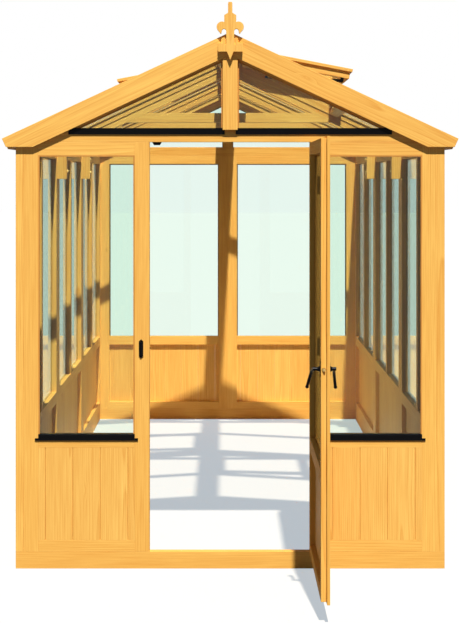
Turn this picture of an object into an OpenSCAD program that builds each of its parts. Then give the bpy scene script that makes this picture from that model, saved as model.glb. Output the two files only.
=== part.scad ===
// Timber greenhouse: half-boarded glazed panels on a base frame, a glazed ridge roof on two trusses,
// a hinged half-glazed door, two top-hung roof vents with stays, and black sills and door furniture.
// X runs to the right, Y into the house and Z up, from the middle of the threshold's underside.

/* [House] */
// Outside width across the side walls
house_w = 1873; // [1700:1:2100]
// Length of one side wall or roof panel along the house
bay_len = 1220; // [1000:1:1400]
// Height of the base rails and threshold
base_h = 74; // [50:1:100]
// Height of the wall panels' top at the inner face
eaves_h = 1862; // [1750:1:1950]
// Slope of the roof in degrees
pitch = 25; // [22:1:28]

/* [Timber frames] */
// Thickness of every wall and roof frame
frame_t = 34; // [30:1:40]
// Width of the stiles
stile_w = 65; // [55:1:75]
// Width of the mullions between two panes of one panel
mullion_w = 44; // [36:1:52]
// Height of a wall panel's bottom rail
bottom_rail_h = 50; // [40:1:60]
// Height of a wall panel's middle rail
mid_rail_h = 60; // [50:1:70]
// Height of a wall panel's top rail
top_rail_h = 58; // [50:1:66]
// Height of the window openings' bottom above the ground
window_z = 587; // [520:1:650]
// Height of the gable's bottom rail
gable_rail_h = 61; // [55:1:70]
// Width of the gable's sloping rails
gable_rafter_w = 45; // [38:1:52]
// Width of the gable's king post
king_w = 66; // [56:1:76]

/* [Boards and glass] */
// Cover width of one matchboard
board_cover = 120; // [100:1:140]
// Thickness of the matchboards
board_t = 12; // [10:0.5:14]
// Narrowest strip allowed at the ends of a boarded panel
board_end_min = 20; // [15:1:25]
// Depth of the V cut along each board joint
board_v = 2.5; // [1.5:0.5:3.5]
// Length of a board's tongue
tongue_l = 5; // [4:0.5:6]
// Thickness of the glass
glass_t = 4; // [3:0.5:5]
// Distance of the glass from the frames' outer face
glass_in = 8; // [6:0.5:10]
// Width of the glazing beads
bead_w = 6; // [5:0.5:8]

/* [Black sills] */
// Height of a window sill
sill_h = 28; // [24:1:32]
// Height of the sill's lower lip, which runs past the window
sill_lip_h = 10; // [8:1:14]
// Length by which the lip runs past each end of the window
sill_lip_end = 15; // [10:1:18]
// Amount the sill stands out from the wall
sill_proud = 5; // [4:0.5:8]
// Fall of the sill's top towards its front edge
sill_fall = 3; // [2:1:5]
// Overlap of the gable sill's lip on the king post
gable_lip_end = 9; // [6:1:12]
// Distance of the gable sill's outer end from the middle of the house
gable_sill_end = 706; // [690:1:715]

/* [Roof] */
// Width of the roof panels' top and eaves rails
roof_rail_w = 65; // [55:1:75]
// Overhang of the barge boards past the side walls
overhang = 58; // [45:1:75]
// Distance of the roof panels' lower edge inside the barge boards' tips
eaves_inset = 10; // [5:1:15]
// Width of the barge boards
barge_w = 90; // [80:1:100]
// Thickness of the barge boards
barge_t = 18; // [15:1:22]
// Height of the barge boards above the roof's surface
barge_proud = 18; // [14:1:22]
// Distance of the level cut under the barge boards' tails below the eaves
barge_tail_drop = 22; // [18:1:32]
// Thickness of the ridge board
ridge_t = 34; // [28:1:40]
// Depth of the ridge board below the roof panels' underside
ridge_drop = 52; // [40:1:60]
// Width of each half of the ridge capping
cap_w = 60; // [50:1:70]
// Thickness of the ridge capping
cap_t = 18; // [16:1:20]

/* [Trusses] */
// Thickness of the trusses along the house
truss_t = 45; // [38:1:50]
// Distance of a truss behind the edge of the wall stile that carries it
truss_back = 4; // [2:1:8]
// Depth of a truss rafter
truss_rafter_w = 34; // [28:1:40]
// Width of a truss leg
leg_w = 53; // [45:1:60]
// Length of a truss leg below the eaves
leg_drop = 162; // [140:1:200]
// Height of the collar ties' top above the eaves
tie_rise = 183; // [160:1:200]
// Depth of the collar ties
tie_h = 50; // [42:1:58]
// Radius of the truss bolts' shanks
bolt_r = 4; // [3:0.5:5]
// Radius of the washers under the truss bolts' heads
bolt_head_r = 9; // [7:0.5:11]
// Radius of the truss bolts' hexagon heads
bolt_hex_r = 6.4; // [5:0.2:8]
// Thickness of the truss bolts' hexagon heads
bolt_hex_t = 4; // [3:0.5:5]
// Thickness of the washers under the truss bolts' heads
washer_t = 2; // [1.5:0.5:3]
// Distance of the first truss bolt above the leg's lower end
bolt_inset = 40; // [30:1:50]
// Distance between the two bolts of a leg
bolt_spacing = 80; // [70:1:90]

/* [Finial] */
// Thickness of the finial
finial_t = 20; // [16:1:24]
// Height of the finial's spike above the barge boards
finial_rise = 129; // [115:1:145]
// Distance of the finial's crosspiece's lower edge below the barge boards' top
finial_cross_drop = 87; // [80:1:92]
// Height of the finial's crosspiece
finial_cross_h = 37; // [30:1:44]
// Width of the finial's crosspiece
finial_cross_w = 108; // [96:1:120]

/* [Door] */
// Width of the door opening
door_w = 704; // [660:1:740]
// Gap round the door's inner frame
door_gap = 4; // [3:0.5:5]
// Gap under the door's inner frame
door_foot_gap = 10; // [6:0.5:12]
// Length by which the door's facing runs past its inner frame at the head and the foot
facing_run = 7; // [5:0.5:10]
// Overlap of the door's facing on the door posts
door_lap = 14; // [11:0.5:16]
// Thickness of the door's facing
facing_t = 12; // [12:0.5:14]
// Angle at which the door stands open
door_open = 90; // [60:1:120]
// Height of the spindle of the door handle
handle_z = 972; // [930:1:1010]
// Distance of the spindle from the edge of the door's inner frame
backset = 24; // [22:0.5:26]
// Radius of the bend of the levers
lever_bend_r = 110; // [100:1:125]
// Angle through which the levers bend down
lever_bend = 78; // [60:1:85]
// Splay of the outer lever away from the door
splay_out = 8; // [6:1:12]
// Splay of the inner lever away from the door
splay_in = 13; // [10:1:20]
// Height of the handle plates
plate_h = 63; // [56:1:70]
// Travel of the latch bolt
bolt_travel = 10; // [8:0.5:10]
// Height of one door hinge
hinge_h = 75; // [60:1:90]
// Distance of the outer hinges' middles from the door's ends
hinge_inset = 190; // [150:1:220]
// Radius of the door hinges' knuckles
knuckle_r = 6.5; // [6:0.25:7]
// Radius of the door hinges' pins
hinge_pin_r = 3; // [2.5:0.25:3.5]

/* [Vents] */
// Distance down the slope from the ridge to the vents' hinges on the ridge capping
vent_pivot_s = 30; // [29:0.5:32]
// Distance down the slope from the ridge to the lower end of the vent openings
vent_bottom = 592; // [575:1:605]
// Overlap of the vents' facing past their openings
vent_lap = 6; // [5:0.5:8]
// Thickness of the vents' facing
vent_facing_t = 15; // [13:0.5:18]
// Depth of the vents' inner frame in the opening
vent_inner_t = 34; // [32:0.5:35]
// Width of the vents' facing members
vent_member_w = 60; // [54:1:66]
// Angle at which the vents stand open
vent_open = 14.1; // [12.5:0.1:15]
// Length of a vent stay
stay_l = 366; // [364:1:380]
// Angle of the stays to the roof where the vents stand open
stay_fall = 22; // [21.5:0.1:22.5]

/* [Hidden] */
$fn = 48;
big = 6000;
arc_steps = 12;
eps_gap = 0.5;      // clearance between faces that part when a leaf opens
board_gap = 0.4;    // clearance between two boards that meet edge to edge
run_gap = 0.06;     // radial clearance of a turning pin
end_gap = 0.3;      // end clearance between hinge knuckles

front_y = -frame_t / 2;
bays = 3;           // panels along each side, one node each
house_l = bays * bay_len;
back_y = front_y + house_l;
inner_x = house_w / 2 - frame_t;
window_top = eaves_h - top_rail_h;
mid_rail_z = window_z - mid_rail_h;
tongue_h = sill_h - sill_lip_h;

// Roof planes are given by the height at which they cross the middle of the house
slope = tan(pitch);
under_apex = eaves_h + slope * inner_x;
roof_apex = under_apex + frame_t / cos(pitch);
barge_apex = roof_apex + barge_proud / cos(pitch);
barge_low_apex = barge_apex - barge_w / cos(pitch);
gable_in_apex = under_apex - gable_rafter_w / cos(pitch);
truss_in_apex = under_apex - truss_rafter_w / cos(pitch);
gable_rail_top = eaves_h + gable_rail_h;
tip_x = house_w / 2 + overhang;
barge_tail_z = eaves_h - barge_tail_drop;
leg_z = eaves_h - leg_drop;
tie_top_z = eaves_h + tie_rise;
finial_top_z = barge_apex + finial_rise;
finial_cross_z = barge_apex - finial_cross_drop;
roof_len = (tip_x - eaves_inset) / cos(pitch);

// Door: its facing stands on the wall's outer face, its inner frame in the opening
wall_door_y = front_y - eps_gap;
door_y = wall_door_y - facing_t;
door_in_w = door_w - 2 * door_gap;
door_out_w = door_w + 2 * door_lap;
door_in_z0 = base_h + door_foot_gap;
door_in_z1 = eaves_h - door_gap;
door_out_z0 = door_in_z0 - facing_run;
door_out_z1 = door_in_z1 + facing_run;
door_glass_x = door_out_w / 2 - stile_w;
hinge_x = door_out_w / 2 + knuckle_r + eps_gap;
hinge_leaf_t = 2.5;
hinge_leaf_gap = 1;
hinge_y = front_y - hinge_leaf_t - knuckle_r + hinge_leaf_gap;
hinge_leaf_w = 38;
hinge_web_w = 2;
hinge_zs = [door_out_z0 + hinge_inset, (door_out_z0 + door_out_z1) / 2, door_out_z1 - hinge_inset];
spindle_x = -door_in_w / 2 + backset;
spindle_r = 4;
latch_r = 6;
latch_case_r = 8;
latch_y = wall_door_y + (frame_t - facing_t) / 2;
latch_out = 9;
strike_gap = 1;     // clearance round the latch bolt in the door post
plate_t = 3;
boss_r = 11;
boss_t = 8;
boss_end_r = 8;
neck_r = 7;
neck_out_l = 15;
neck_in_l = 20;
lever_end_r = 7;
plate_rim = 2;
latch_end_gap = 2;
lever_r = 6;
latch_l = backset - spindle_r - bolt_travel - latch_end_gap + latch_out;
door_in_y = door_y + frame_t;

// Vents: distances s run down the slope from the ridge and n out of the roof
vent_gap = 3;
vent_pin_r = 2;
vent_knuckle_r = 4;
vent_pivot_n = cap_t + vent_knuckle_r + eps_gap;
vent_seat = cap_t + eps_gap;
sash_s = vent_pivot_s + vent_knuckle_r + eps_gap;
curb_w = 10;
vent_leaf_t = 2;
vent_leaf_w = 26;
vent_hinge_l = 60;
pane_w = (bay_len - 2 * stile_w - mullion_w) / 2;
foot_trimmer_w = 44;
stay_t = 4;
stay_w = 14;
stay_pin_r = 3;
stay_slot_r = 3.4;
stay_slot_in = 23;      // length of the slot on the pivot's side of the peg
stay_slot_out = 16;     // length of the slot on the far side of the peg
stay_peg_l = 10;
stay_peg_n = 6 - frame_t;
stay_pivot_s = vent_bottom - 36;
stay_pivot_n = cap_t - vent_inner_t - 15;

// Box between two corners
module slab(a, b) translate(a) cube(b - a);

// Outline in X and Z, made thick from y0 inwards
module upright(y0, t) translate([0, y0 + t, 0]) rotate([90, 0, 0]) linear_extrude(t) children();

// Panels are drawn with their outer face on y = 0, and these set them in the four walls
module in_front(x0) translate([x0, front_y, 0]) children();
module in_back(x1) translate([x1, back_y, 0]) rotate([0, 0, 180]) children();
module in_left(i) translate([-house_w / 2, front_y + (i + 1) * bay_len, 0]) rotate([0, 0, -90]) children();
module in_right(i) translate([house_w / 2, front_y + i * bay_len, 0]) rotate([0, 0, 90]) children();

// Roof parts are drawn down the slope from the ridge, with the roof's surface on z = 0
module on_slope(side)
    mirror([side < 0 ? 1 : 0, 0, 0]) translate([0, 0, roof_apex]) rotate([0, pitch, 0]) children();

// Everything above the underside of one roof slope
module above_roof(side)
    on_slope(side) translate([-big / 2, -big, -frame_t]) cube([big, 2 * big, big]);

// Width and left edge of the window openings of a panel with n panes
function pane_width(w, n) = (w - 2 * stile_w - (n - 1) * mullion_w) / n;
function pane_left(w, n, i) = stile_w + i * (pane_width(w, n) + mullion_w);

// Frame of a wall panel: stiles, three rails and the mullions
module wall_frame(w, n) color("goldenrod") {
    for (x = [0, w - stile_w]) slab([x, 0, base_h], [x + stile_w, frame_t, eaves_h]);
    slab([stile_w, 0, base_h], [w - stile_w, frame_t, base_h + bottom_rail_h]);
    slab([stile_w, 0, window_top], [w - stile_w, frame_t, eaves_h]);
    difference() {
        slab([stile_w, 0, mid_rail_z], [w - stile_w, frame_t, window_z]);
        for (i = [0 : n - 1])
            translate([pane_left(w, n, i), 0, window_z - tongue_h]) cube([pane_width(w, n), glass_in, big]);
    }
    for (i = [1 : 1 : n - 1])
        translate([pane_left(w, n, i) - mullion_w, 0, window_z]) cube([mullion_w, frame_t, window_top - window_z]);
}

// One matchboard with its outer face on y = 0, its tongue on the right and its groove on the left
module matchboard(x0, x1, h, grooved, tongued) {
    mid = board_t / 2;
    half = board_t / 7;
    v0 = grooved ? board_v : 0;
    v1 = tongued ? board_v : 0;
    deep = x0 + tongue_l + board_gap;
    linear_extrude(h) polygon(concat(
        [[x0 + v0, 0], [x1 - v1, 0], [x1, v1]],
        tongued ? [[x1, mid - half], [x1 + tongue_l, mid - half], [x1 + tongue_l, mid + half], [x1, mid + half]] : [],
        [[x1, board_t], [x0, board_t]],
        grooved ? [[x0, mid + half + board_gap], [deep, mid + half + board_gap],
                   [deep, mid - half - board_gap], [x0, mid - half - board_gap]] : [],
        [[x0, v0]]));
}

// Matchboards filling a width evenly from the middle, with a cut board at each end
module boarding(w, h) color("sandybrown") {
    full = floor((w - 2 * board_end_min) / board_cover);
    first = (w - full * board_cover) / 2;
    for (i = [0 : full + 1]) {
        x0 = i == 0 ? 0 : first + (i - 1) * board_cover + board_gap;
        x1 = i == full + 1 ? w : first + i * board_cover;
        matchboard(x0, x1, h, i > 0, i <= full);
    }
}

module wall_boards(w)
    translate([stile_w, 0, base_h + bottom_rail_h])
        boarding(w - 2 * stile_w, mid_rail_z - base_h - bottom_rail_h);

module wall_glass(w, n) color("honeydew", 0.4)
    for (i = [0 : n - 1])
        translate([pane_left(w, n, i), glass_in, window_z])
            cube([pane_width(w, n), glass_t, window_top - window_z]);

// Beads outside the glass along the sides and the top of an opening, and at the bottom if asked
module bead_set(w, h, bottom) {
    z0 = bottom ? bead_w : 0;
    for (x = [0, w - bead_w]) translate([x, 0, z0]) cube([bead_w, glass_in, h - bead_w - z0]);
    translate([0, 0, h - bead_w]) cube([w, glass_in, bead_w]);
    if (bottom) cube([w, glass_in, bead_w]);
}

module wall_beads(w, n) color("peru")
    for (i = [0 : n - 1])
        translate([pane_left(w, n, i), 0, window_z])
            bead_set(pane_width(w, n), window_top - window_z, false);

// Black sill: a tongue under the glass, and a lip below it that runs past the window
module window_sill(w) {
    rotate([90, 0, 90]) linear_extrude(w)
        polygon([[glass_in, 0], [0, 0], [-sill_proud, -sill_fall], [-sill_proud, -tongue_h], [glass_in, -tongue_h]]);
    slab([-sill_lip_end, -sill_proud, -sill_h], [w + sill_lip_end, 0, -tongue_h]);
}

module wall_sills(w, n) color("black")
    for (i = [0 : n - 1])
        translate([pane_left(w, n, i), 0, window_z]) window_sill(pane_width(w, n));

// Widths of the front panels, between the side walls and the door, and of the back panels
front_w = inner_x - door_w / 2;
back_w = inner_x;
front_panes = 1;
side_panes = 2;
back_panes = 1;

module front_left() in_front(-inner_x) children();
module front_right() in_front(door_w / 2) children();
module back_left() in_back(0) children();
module back_right() in_back(inner_x) children();

// The left door post takes the latch bolt when the door is shut
module strike_bore()
    translate([-door_w / 2 + strike_gap, latch_y, handle_z]) rotate([0, -90, 0])
        cylinder(r = latch_r + strike_gap, h = latch_out + 3 * strike_gap);

module front_panel_left() difference() {
    front_left() wall_frame(front_w, front_panes);
    color("goldenrod") strike_bore();
}

// Side panels are bevelled on top to the roof's underside
module left_panel(i) difference() {
    in_left(i) wall_frame(bay_len, side_panes);
    above_roof(-1);
}
module right_panel(i) difference() {
    in_right(i) wall_frame(bay_len, side_panes);
    above_roof(1);
}

// Rails on the ground under the wall panels
module front_threshold() color("goldenrod")
    slab([-house_w / 2, front_y, 0], [house_w / 2, front_y + frame_t, base_h]);
module base_rails() color("goldenrod") {
    slab([-house_w / 2, back_y - frame_t, 0], [house_w / 2, back_y, base_h]);
    for (x = [-house_w / 2, inner_x])
        slab([x, front_y + frame_t, 0], [x + frame_t, back_y - frame_t, base_h]);
}

// Half-width at which a roof plane with the given apex height passes a height
function plane_x(apex, z) = (apex - z) / slope;

// Gable panel: a bottom rail, two sloping rails and a king post round two windows
module gable(y0) color("goldenrod") upright(y0, frame_t) difference() {
    polygon([[-inner_x, eaves_h], [inner_x, eaves_h], [0, under_apex]]);
    for (side = [0, 1]) mirror([side, 0]) gable_window(0);
}

// Outline of one gable window, drawn in by the given amount
module gable_window(inset)
    polygon([[king_w / 2 + inset, gable_rail_top],
             [plane_x(gable_in_apex, gable_rail_top) - inset / sin(pitch), gable_rail_top],
             [king_w / 2 + inset, gable_in_apex - slope * (king_w / 2 + inset) - inset / cos(pitch)]]);

module gable_glass(y0) color("honeydew", 0.4)
    for (side = [0, 1]) mirror([side, 0, 0]) upright(y0, glass_t) gable_window(0);

module gable_beads(y0) color("peru")
    for (side = [0, 1]) mirror([side, 0, 0]) upright(y0, glass_in) difference() {
        gable_window(0);
        gable_window(bead_w);
    }

// Black sill under a gable window, cut along the barge board's lower edge
module gable_sills(y0) color("black")
    for (side = [0, 1]) mirror([side, 0, 0]) upright(y0, sill_proud) {
        z0 = gable_rail_top - sill_h;
        z1 = gable_rail_top - gable_lip_end;
        x0 = king_w / 2 - gable_lip_end;
        z_end = min(gable_rail_top, barge_low_apex - slope * gable_sill_end);
        polygon([[x0, z0], [gable_sill_end, z0], [gable_sill_end, z_end],
                 [plane_x(barge_low_apex, gable_rail_top), gable_rail_top], [king_w / 2, gable_rail_top],
                 [king_w / 2, z1], [x0, z1]]);
    }

// Two barge boards meeting at the apex, with a square cut tip and a level cut under the tail
module barge_boards(y0) color("goldenrod")
    for (side = [0, 1]) mirror([side, 0, 0]) upright(y0, barge_t) {
        tip_z = barge_apex - slope * tip_x;
        mitre = board_gap / 2;
        polygon([[mitre, barge_apex - slope * mitre], [tip_x, tip_z],
                 [tip_x - slope * (tip_z - barge_tail_z), barge_tail_z],
                 [plane_x(barge_low_apex, barge_tail_z), barge_tail_z], [mitre, barge_low_apex - slope * mitre]]);
    }

// Facing on a king post, in the plane of the barge boards, which stands on the gable sills' lips
module king_post_facing(y0) color("goldenrod") upright(y0, barge_t) {
    x = king_w / 2 - board_gap;
    z0 = gable_rail_top - gable_lip_end + board_gap;
    z1 = barge_low_apex - board_gap / cos(pitch);
    polygon([[-x, z0], [x, z0], [x, z1 - slope * x], [0, z1], [-x, z1 - slope * x]]);
}

// Points along an arc about a centre, from one angle to another
function arc(x, z, r, a0, a1) =
    [for (i = [0 : arc_steps]) let (a = a0 + (a1 - a0) * i / arc_steps) [x + r * cos(a), z + r * sin(a)]];

// Fleur-de-lis finial: pointed tail, crosspiece, neck, two curls, shoulders and spike
module finial() color("goldenrod") {
    spike_x = 9.5;
    spike_tip_x = 7.5;
    spike_tip_h = 8;
    spike_foot_drop = 47;
    shoulder_x = 26;
    shoulder_drop = 57;
    curl_x = 36;
    curl_drop = 108;
    curl_r = 23;
    hook_w = 5;
    hook_h = 30;
    neck_x = 17.5;
    notch_r = 9.5;
    notch_drop = 126;
    ear_x = 27;
    ear_w = 6;
    ear_h = 16;
    slit_x = 20;
    slit_depth = 8;
    tail_x = 14;
    tail_h = 36;
    top = finial_top_z;
    curl_end = 180 - acos((curl_x - shoulder_x) / curl_r);
    cross_x = finial_cross_w / 2;
    cross_top = finial_cross_z + finial_cross_h;
    half = concat(
        [[0, finial_cross_z - tail_h], [tail_x, finial_cross_z], [cross_x, finial_cross_z], [cross_x, cross_top],
         [ear_x + ear_w, cross_top], [ear_x, cross_top + ear_h], [slit_x + hook_w, cross_top + slit_depth],
         [slit_x + hook_w, cross_top - slit_depth], [slit_x, cross_top - slit_depth], [neck_x, cross_top]],
        arc(neck_x + notch_r, top - notch_drop, notch_r, 180, 0),
        [[curl_x + hook_w / 2, top - curl_drop - hook_h + hook_w / 2], [curl_x + hook_w, top - curl_drop - hook_h]],
        arc(curl_x, top - curl_drop, curl_r, -50, curl_end),
        [[shoulder_x, top - shoulder_drop], [spike_x, top - spike_foot_drop], [spike_x, top - spike_tip_h],
         [spike_tip_x, top]]);
    upright(front_y - barge_t - finial_t, finial_t)
        polygon(concat(half, [for (i = [len(half) - 1 : -1 : 1]) [-half[i][0], half[i][1]]]));
}

// Each truss stands against the rear stiles of the side panels before it
function truss_y(i) = front_y + i * bay_len - stile_w + truss_back;
leg_bolt_zs = [leg_z + bolt_inset, leg_z + bolt_inset + bolt_spacing];

// Truss: two legs on the walls, two rafters under the roof and a collar tie
module truss(i) color("goldenrod") {
    y0 = truss_y(i);
    leg_x = inner_x - leg_w;
    tie_x0 = plane_x(truss_in_apex, tie_top_z - tie_h);
    tie_x1 = plane_x(truss_in_apex, tie_top_z);
    for (side = [0, 1]) mirror([side, 0, 0]) {
        difference() {
            upright(y0, truss_t) polygon([[leg_x, leg_z], [inner_x, leg_z], [inner_x, under_apex - slope * inner_x],
                                          [leg_x, under_apex - slope * leg_x]]);
            for (z = leg_bolt_zs) leg_bolt_place(i, z)
                translate([0, 0, -1]) cylinder(r = bolt_r + run_gap, h = leg_w + 2);
        }
        upright(y0, truss_t) polygon([[ridge_t / 2, under_apex - slope * ridge_t / 2], [leg_x, under_apex - slope * leg_x],
                                      [leg_x, truss_in_apex - slope * leg_x],
                                      [ridge_t / 2, truss_in_apex - slope * ridge_t / 2]]);
    }
    upright(y0, truss_t) polygon([[-tie_x0, tie_top_z - tie_h], [tie_x0, tie_top_z - tie_h],
                                  [tie_x1, tie_top_z], [-tie_x1, tie_top_z]]);
}

// Start of a bolt's bore on the leg's inner face, running out to the wall
module leg_bolt_place(i, z)
    translate([inner_x - leg_w, truss_y(i) + truss_t / 2, z]) rotate([0, 90, 0]) children();

module truss_bolts() color("dimgray")
    for (side = [0, 1]) mirror([side, 0, 0])
        for (i = [1 : bays - 1]) for (z = leg_bolt_zs) leg_bolt_place(i, z) {
            cylinder(r = bolt_r, h = leg_w);
            translate([0, 0, -washer_t]) cylinder(r = bolt_head_r, h = washer_t);
            translate([0, 0, -washer_t - bolt_hex_t]) cylinder(r = bolt_hex_r, h = bolt_hex_t, $fn = 6);
        }

// Ridge board between the two slopes, deeper between the gables
module ridge_board() color("goldenrod") {
    slab([-ridge_t / 2, front_y, under_apex], [ridge_t / 2, back_y, roof_apex - slope * ridge_t / 2]);
    slab([-ridge_t / 2, front_y + frame_t, under_apex - ridge_drop], [ridge_t / 2, back_y - frame_t, under_apex]);
}

// Two capping boards that meet over the ridge
module ridge_capping() color("goldenrod")
    for (side = [-1, 1]) difference() {
        on_slope(side) slab([-cap_t, front_y, 0], [cap_w, back_y, cap_t]);
        translate([side > 0 ? -big + board_gap / 2 : -board_gap / 2, -big, 0]) cube([big, 2 * big, big]);
    }

// Space of the ridge board, which cuts the roof panels plumb
module ridge_space() translate([-ridge_t / 2, -big, 0]) cube([ridge_t, 2 * big, big]);

// Roof panel i from the front, with the trimmer and the curb of the vent it may hold
module roof_panel(side, i) color("goldenrod") difference() {
    y0 = front_y + i * bay_len;
    on_slope(side) {
        for (y = [y0, y0 + bay_len - stile_w]) slab([0, y, -frame_t], [roof_len, y + stile_w, 0]);
        slab([0, y0 + stile_w, -frame_t], [roof_rail_w, y0 + bay_len - stile_w, 0]);
        slab([roof_len - roof_rail_w, y0 + stile_w, -frame_t], [roof_len, y0 + bay_len - stile_w, 0]);
        slab([roof_rail_w, roof_pane_y(i, 1) - mullion_w, -frame_t], [roof_len - roof_rail_w, roof_pane_y(i, 1), 0]);
        if (i == vent_panel(side)) {
            y1 = vent_y(side);
            slab([vent_bottom, y1, -frame_t], [vent_bottom + foot_trimmer_w, y1 + pane_w, 0]);
            vent_curb(y1);
        }
    }
    ridge_space();
}

// Curb round three sides of a vent's opening, as high as the ridge capping
module vent_curb(y1) {
    for (y = [y1 - curb_w, y1 + pane_w]) slab([cap_w + board_gap, y, 0], [vent_bottom + curb_w, y + curb_w, cap_t]);
    slab([vent_bottom, y1, 0], [vent_bottom + curb_w, y1 + pane_w, cap_t]);
}

// Front edge of pane k of roof panel i
function roof_pane_y(i, k) = front_y + i * bay_len + stile_w + k * (pane_w + mullion_w);

// The vents: left in the first pane of the second panel, right in the second pane of the first panel
function vent_panel(side) = side < 0 ? 1 : 0;
function vent_pane(side) = side < 0 ? 0 : 1;
function vent_y(side) = roof_pane_y(vent_panel(side), vent_pane(side));

// Upper end of the glass in a roof pane
function roof_glass_s(side, i, k) =
    i == vent_panel(side) && k == vent_pane(side) ? vent_bottom + foot_trimmer_w : roof_rail_w;

module each_roof_pane()
    for (side = [-1, 1]) for (i = [0 : bays - 1]) for (k = [0, 1]) {
        $s0 = roof_glass_s(side, i, k);
        on_slope(side) translate([$s0, roof_pane_y(i, k), 0]) children();
    }

module roof_glass() color("honeydew", 0.4) each_roof_pane()
    translate([0, 0, -glass_in - glass_t]) cube([roof_len - roof_rail_w - $s0, pane_w, glass_t]);

module roof_beads() color("peru") each_roof_pane() {
    l = roof_len - roof_rail_w - $s0;
    for (y = [0, pane_w - bead_w]) translate([0, y, -glass_in]) cube([l, bead_w, glass_in]);
    translate([0, bead_w, -glass_in]) cube([bead_w, pane_w - 2 * bead_w, glass_in]);
}

module glazing_beads() {
    front_left() wall_beads(front_w, front_panes);
    front_right() wall_beads(front_w, front_panes);
    back_left() wall_beads(back_w, back_panes);
    back_right() wall_beads(back_w, back_panes);
    for (i = [0 : bays - 1]) {
        in_left(i) wall_beads(bay_len, side_panes);
        in_right(i) wall_beads(bay_len, side_panes);
    }
    gable_beads(front_y);
    gable_beads(back_y - glass_in);
    roof_beads();
}

module black_sills() {
    front_left() wall_sills(front_w, front_panes);
    front_right() wall_sills(front_w, front_panes);
    back_left() wall_sills(back_w, back_panes);
    back_right() wall_sills(back_w, back_panes);
    for (i = [0 : bays - 1]) {
        in_left(i) wall_sills(bay_len, side_panes);
        in_right(i) wall_sills(bay_len, side_panes);
    }
    gable_sills(front_y - sill_proud);
    gable_sills(back_y);
}

module front_glass() {
    front_left() wall_glass(front_w, front_panes);
    front_right() wall_glass(front_w, front_panes);
    gable_glass(front_y + glass_in);
}
module back_glass() {
    back_left() wall_glass(back_w, back_panes);
    back_right() wall_glass(back_w, back_panes);
    gable_glass(back_y - glass_in - glass_t);
}
module side_glass() for (i = [0 : bays - 1]) {
    in_left(i) wall_glass(bay_len, side_panes);
    in_right(i) wall_glass(bay_len, side_panes);
}

// Plate with pointed ends, drawn upright in X and Z
module pointed_plate(w, h, t) translate([0, t, 0]) rotate([90, 0, 0]) linear_extrude(t)
    polygon([[-w / 2, -h / 2 + w / 2], [0, -h / 2], [w / 2, -h / 2 + w / 2],
             [w / 2, h / 2 - w / 2], [0, h / 2], [-w / 2, h / 2 - w / 2]]);

// Keep plate on the left door post, and the catch under the door head
module door_keeps() color("black") {
    keep_w = 19;
    keep_drop = 12;
    keep_inset = 37;
    keep_h = 83;
    keep_t = 4;
    rib_w = 8;
    rib_h = 59;
    rib_t = 7;
    catch_w = 42;
    catch_h = 13;
    catch_x = 10 - door_w / 2;
    catch_taper = 8;
    catch_y = door_in_y + door_gap / 2;
    translate([-door_w / 2 - keep_inset, front_y - keep_t, handle_z - keep_drop]) {
        pointed_plate(keep_w, keep_h, keep_t);
        translate([0, -rib_t, 0]) pointed_plate(rib_w, rib_h, rib_t);
    }
    upright(catch_y, front_y + frame_t - catch_y)
        polygon([[catch_x, eaves_h], [catch_x + catch_w, eaves_h],
                 [catch_x + catch_w - catch_taper, eaves_h - catch_h], [catch_x + catch_taper, eaves_h - catch_h]]);
}

// Knuckle lengths of one hinge: the fixed leaf has the first, third and fifth
knuckle_l = hinge_h / 5;
module knuckles(which, r) for (k = which)
    translate([0, 0, k * knuckle_l + (k > 0 ? end_gap / 2 : 0)])
        cylinder(r = r, h = knuckle_l - (k == 0 || k == 4 ? end_gap / 2 : end_gap));

// Fixed leaves of the door hinges on the right door post, with their pins
module door_hinge_leaves() color("black")
    for (z = hinge_zs) translate([hinge_x, hinge_y, z - hinge_h / 2]) {
        knuckles([0, 2, 4], knuckle_r);
        cylinder(r = hinge_pin_r, h = hinge_h);
        for (k = [0, 2, 4]) {
            z0 = k * knuckle_l + (k > 0 ? end_gap / 2 : 0);
            z1 = (k + 1) * knuckle_l - (k < 4 ? end_gap / 2 : 0);
            slab([0, front_y - hinge_leaf_t - hinge_y, z0], [knuckle_r + hinge_web_w, front_y - hinge_y, z1]);
        }
        slab([knuckle_r + hinge_leaf_gap, front_y - hinge_leaf_t - hinge_y, 0], [hinge_leaf_w, front_y - hinge_y, hinge_h]);
    }

// Turns what is drawn on the shut door to where it stands open
module door_pose()
    translate([hinge_x, hinge_y, 0]) rotate([0, 0, door_open]) translate([-hinge_x, -hinge_y, 0]) children();

// Moving leaves of the door hinges on the door's facing
module door_hinge_flaps() door_pose() color("black")
    for (z = hinge_zs) translate([hinge_x, hinge_y, z - hinge_h / 2]) {
        y0 = door_y - hinge_leaf_t - hinge_y;
        difference() {
            union() {
                knuckles([1, 3], knuckle_r);
                for (k = [1, 3])
                    slab([-knuckle_r - hinge_web_w, y0, k * knuckle_l + end_gap / 2], [0, y0 + hinge_leaf_t, (k + 1) * knuckle_l - end_gap / 2]);
            }
            translate([0, 0, -1]) cylinder(r = hinge_pin_r + run_gap, h = hinge_h + 2);
        }
        slab([-hinge_leaf_w, y0, 0], [-knuckle_r - hinge_leaf_gap, y0 + hinge_leaf_t, hinge_h]);
    }

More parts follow.
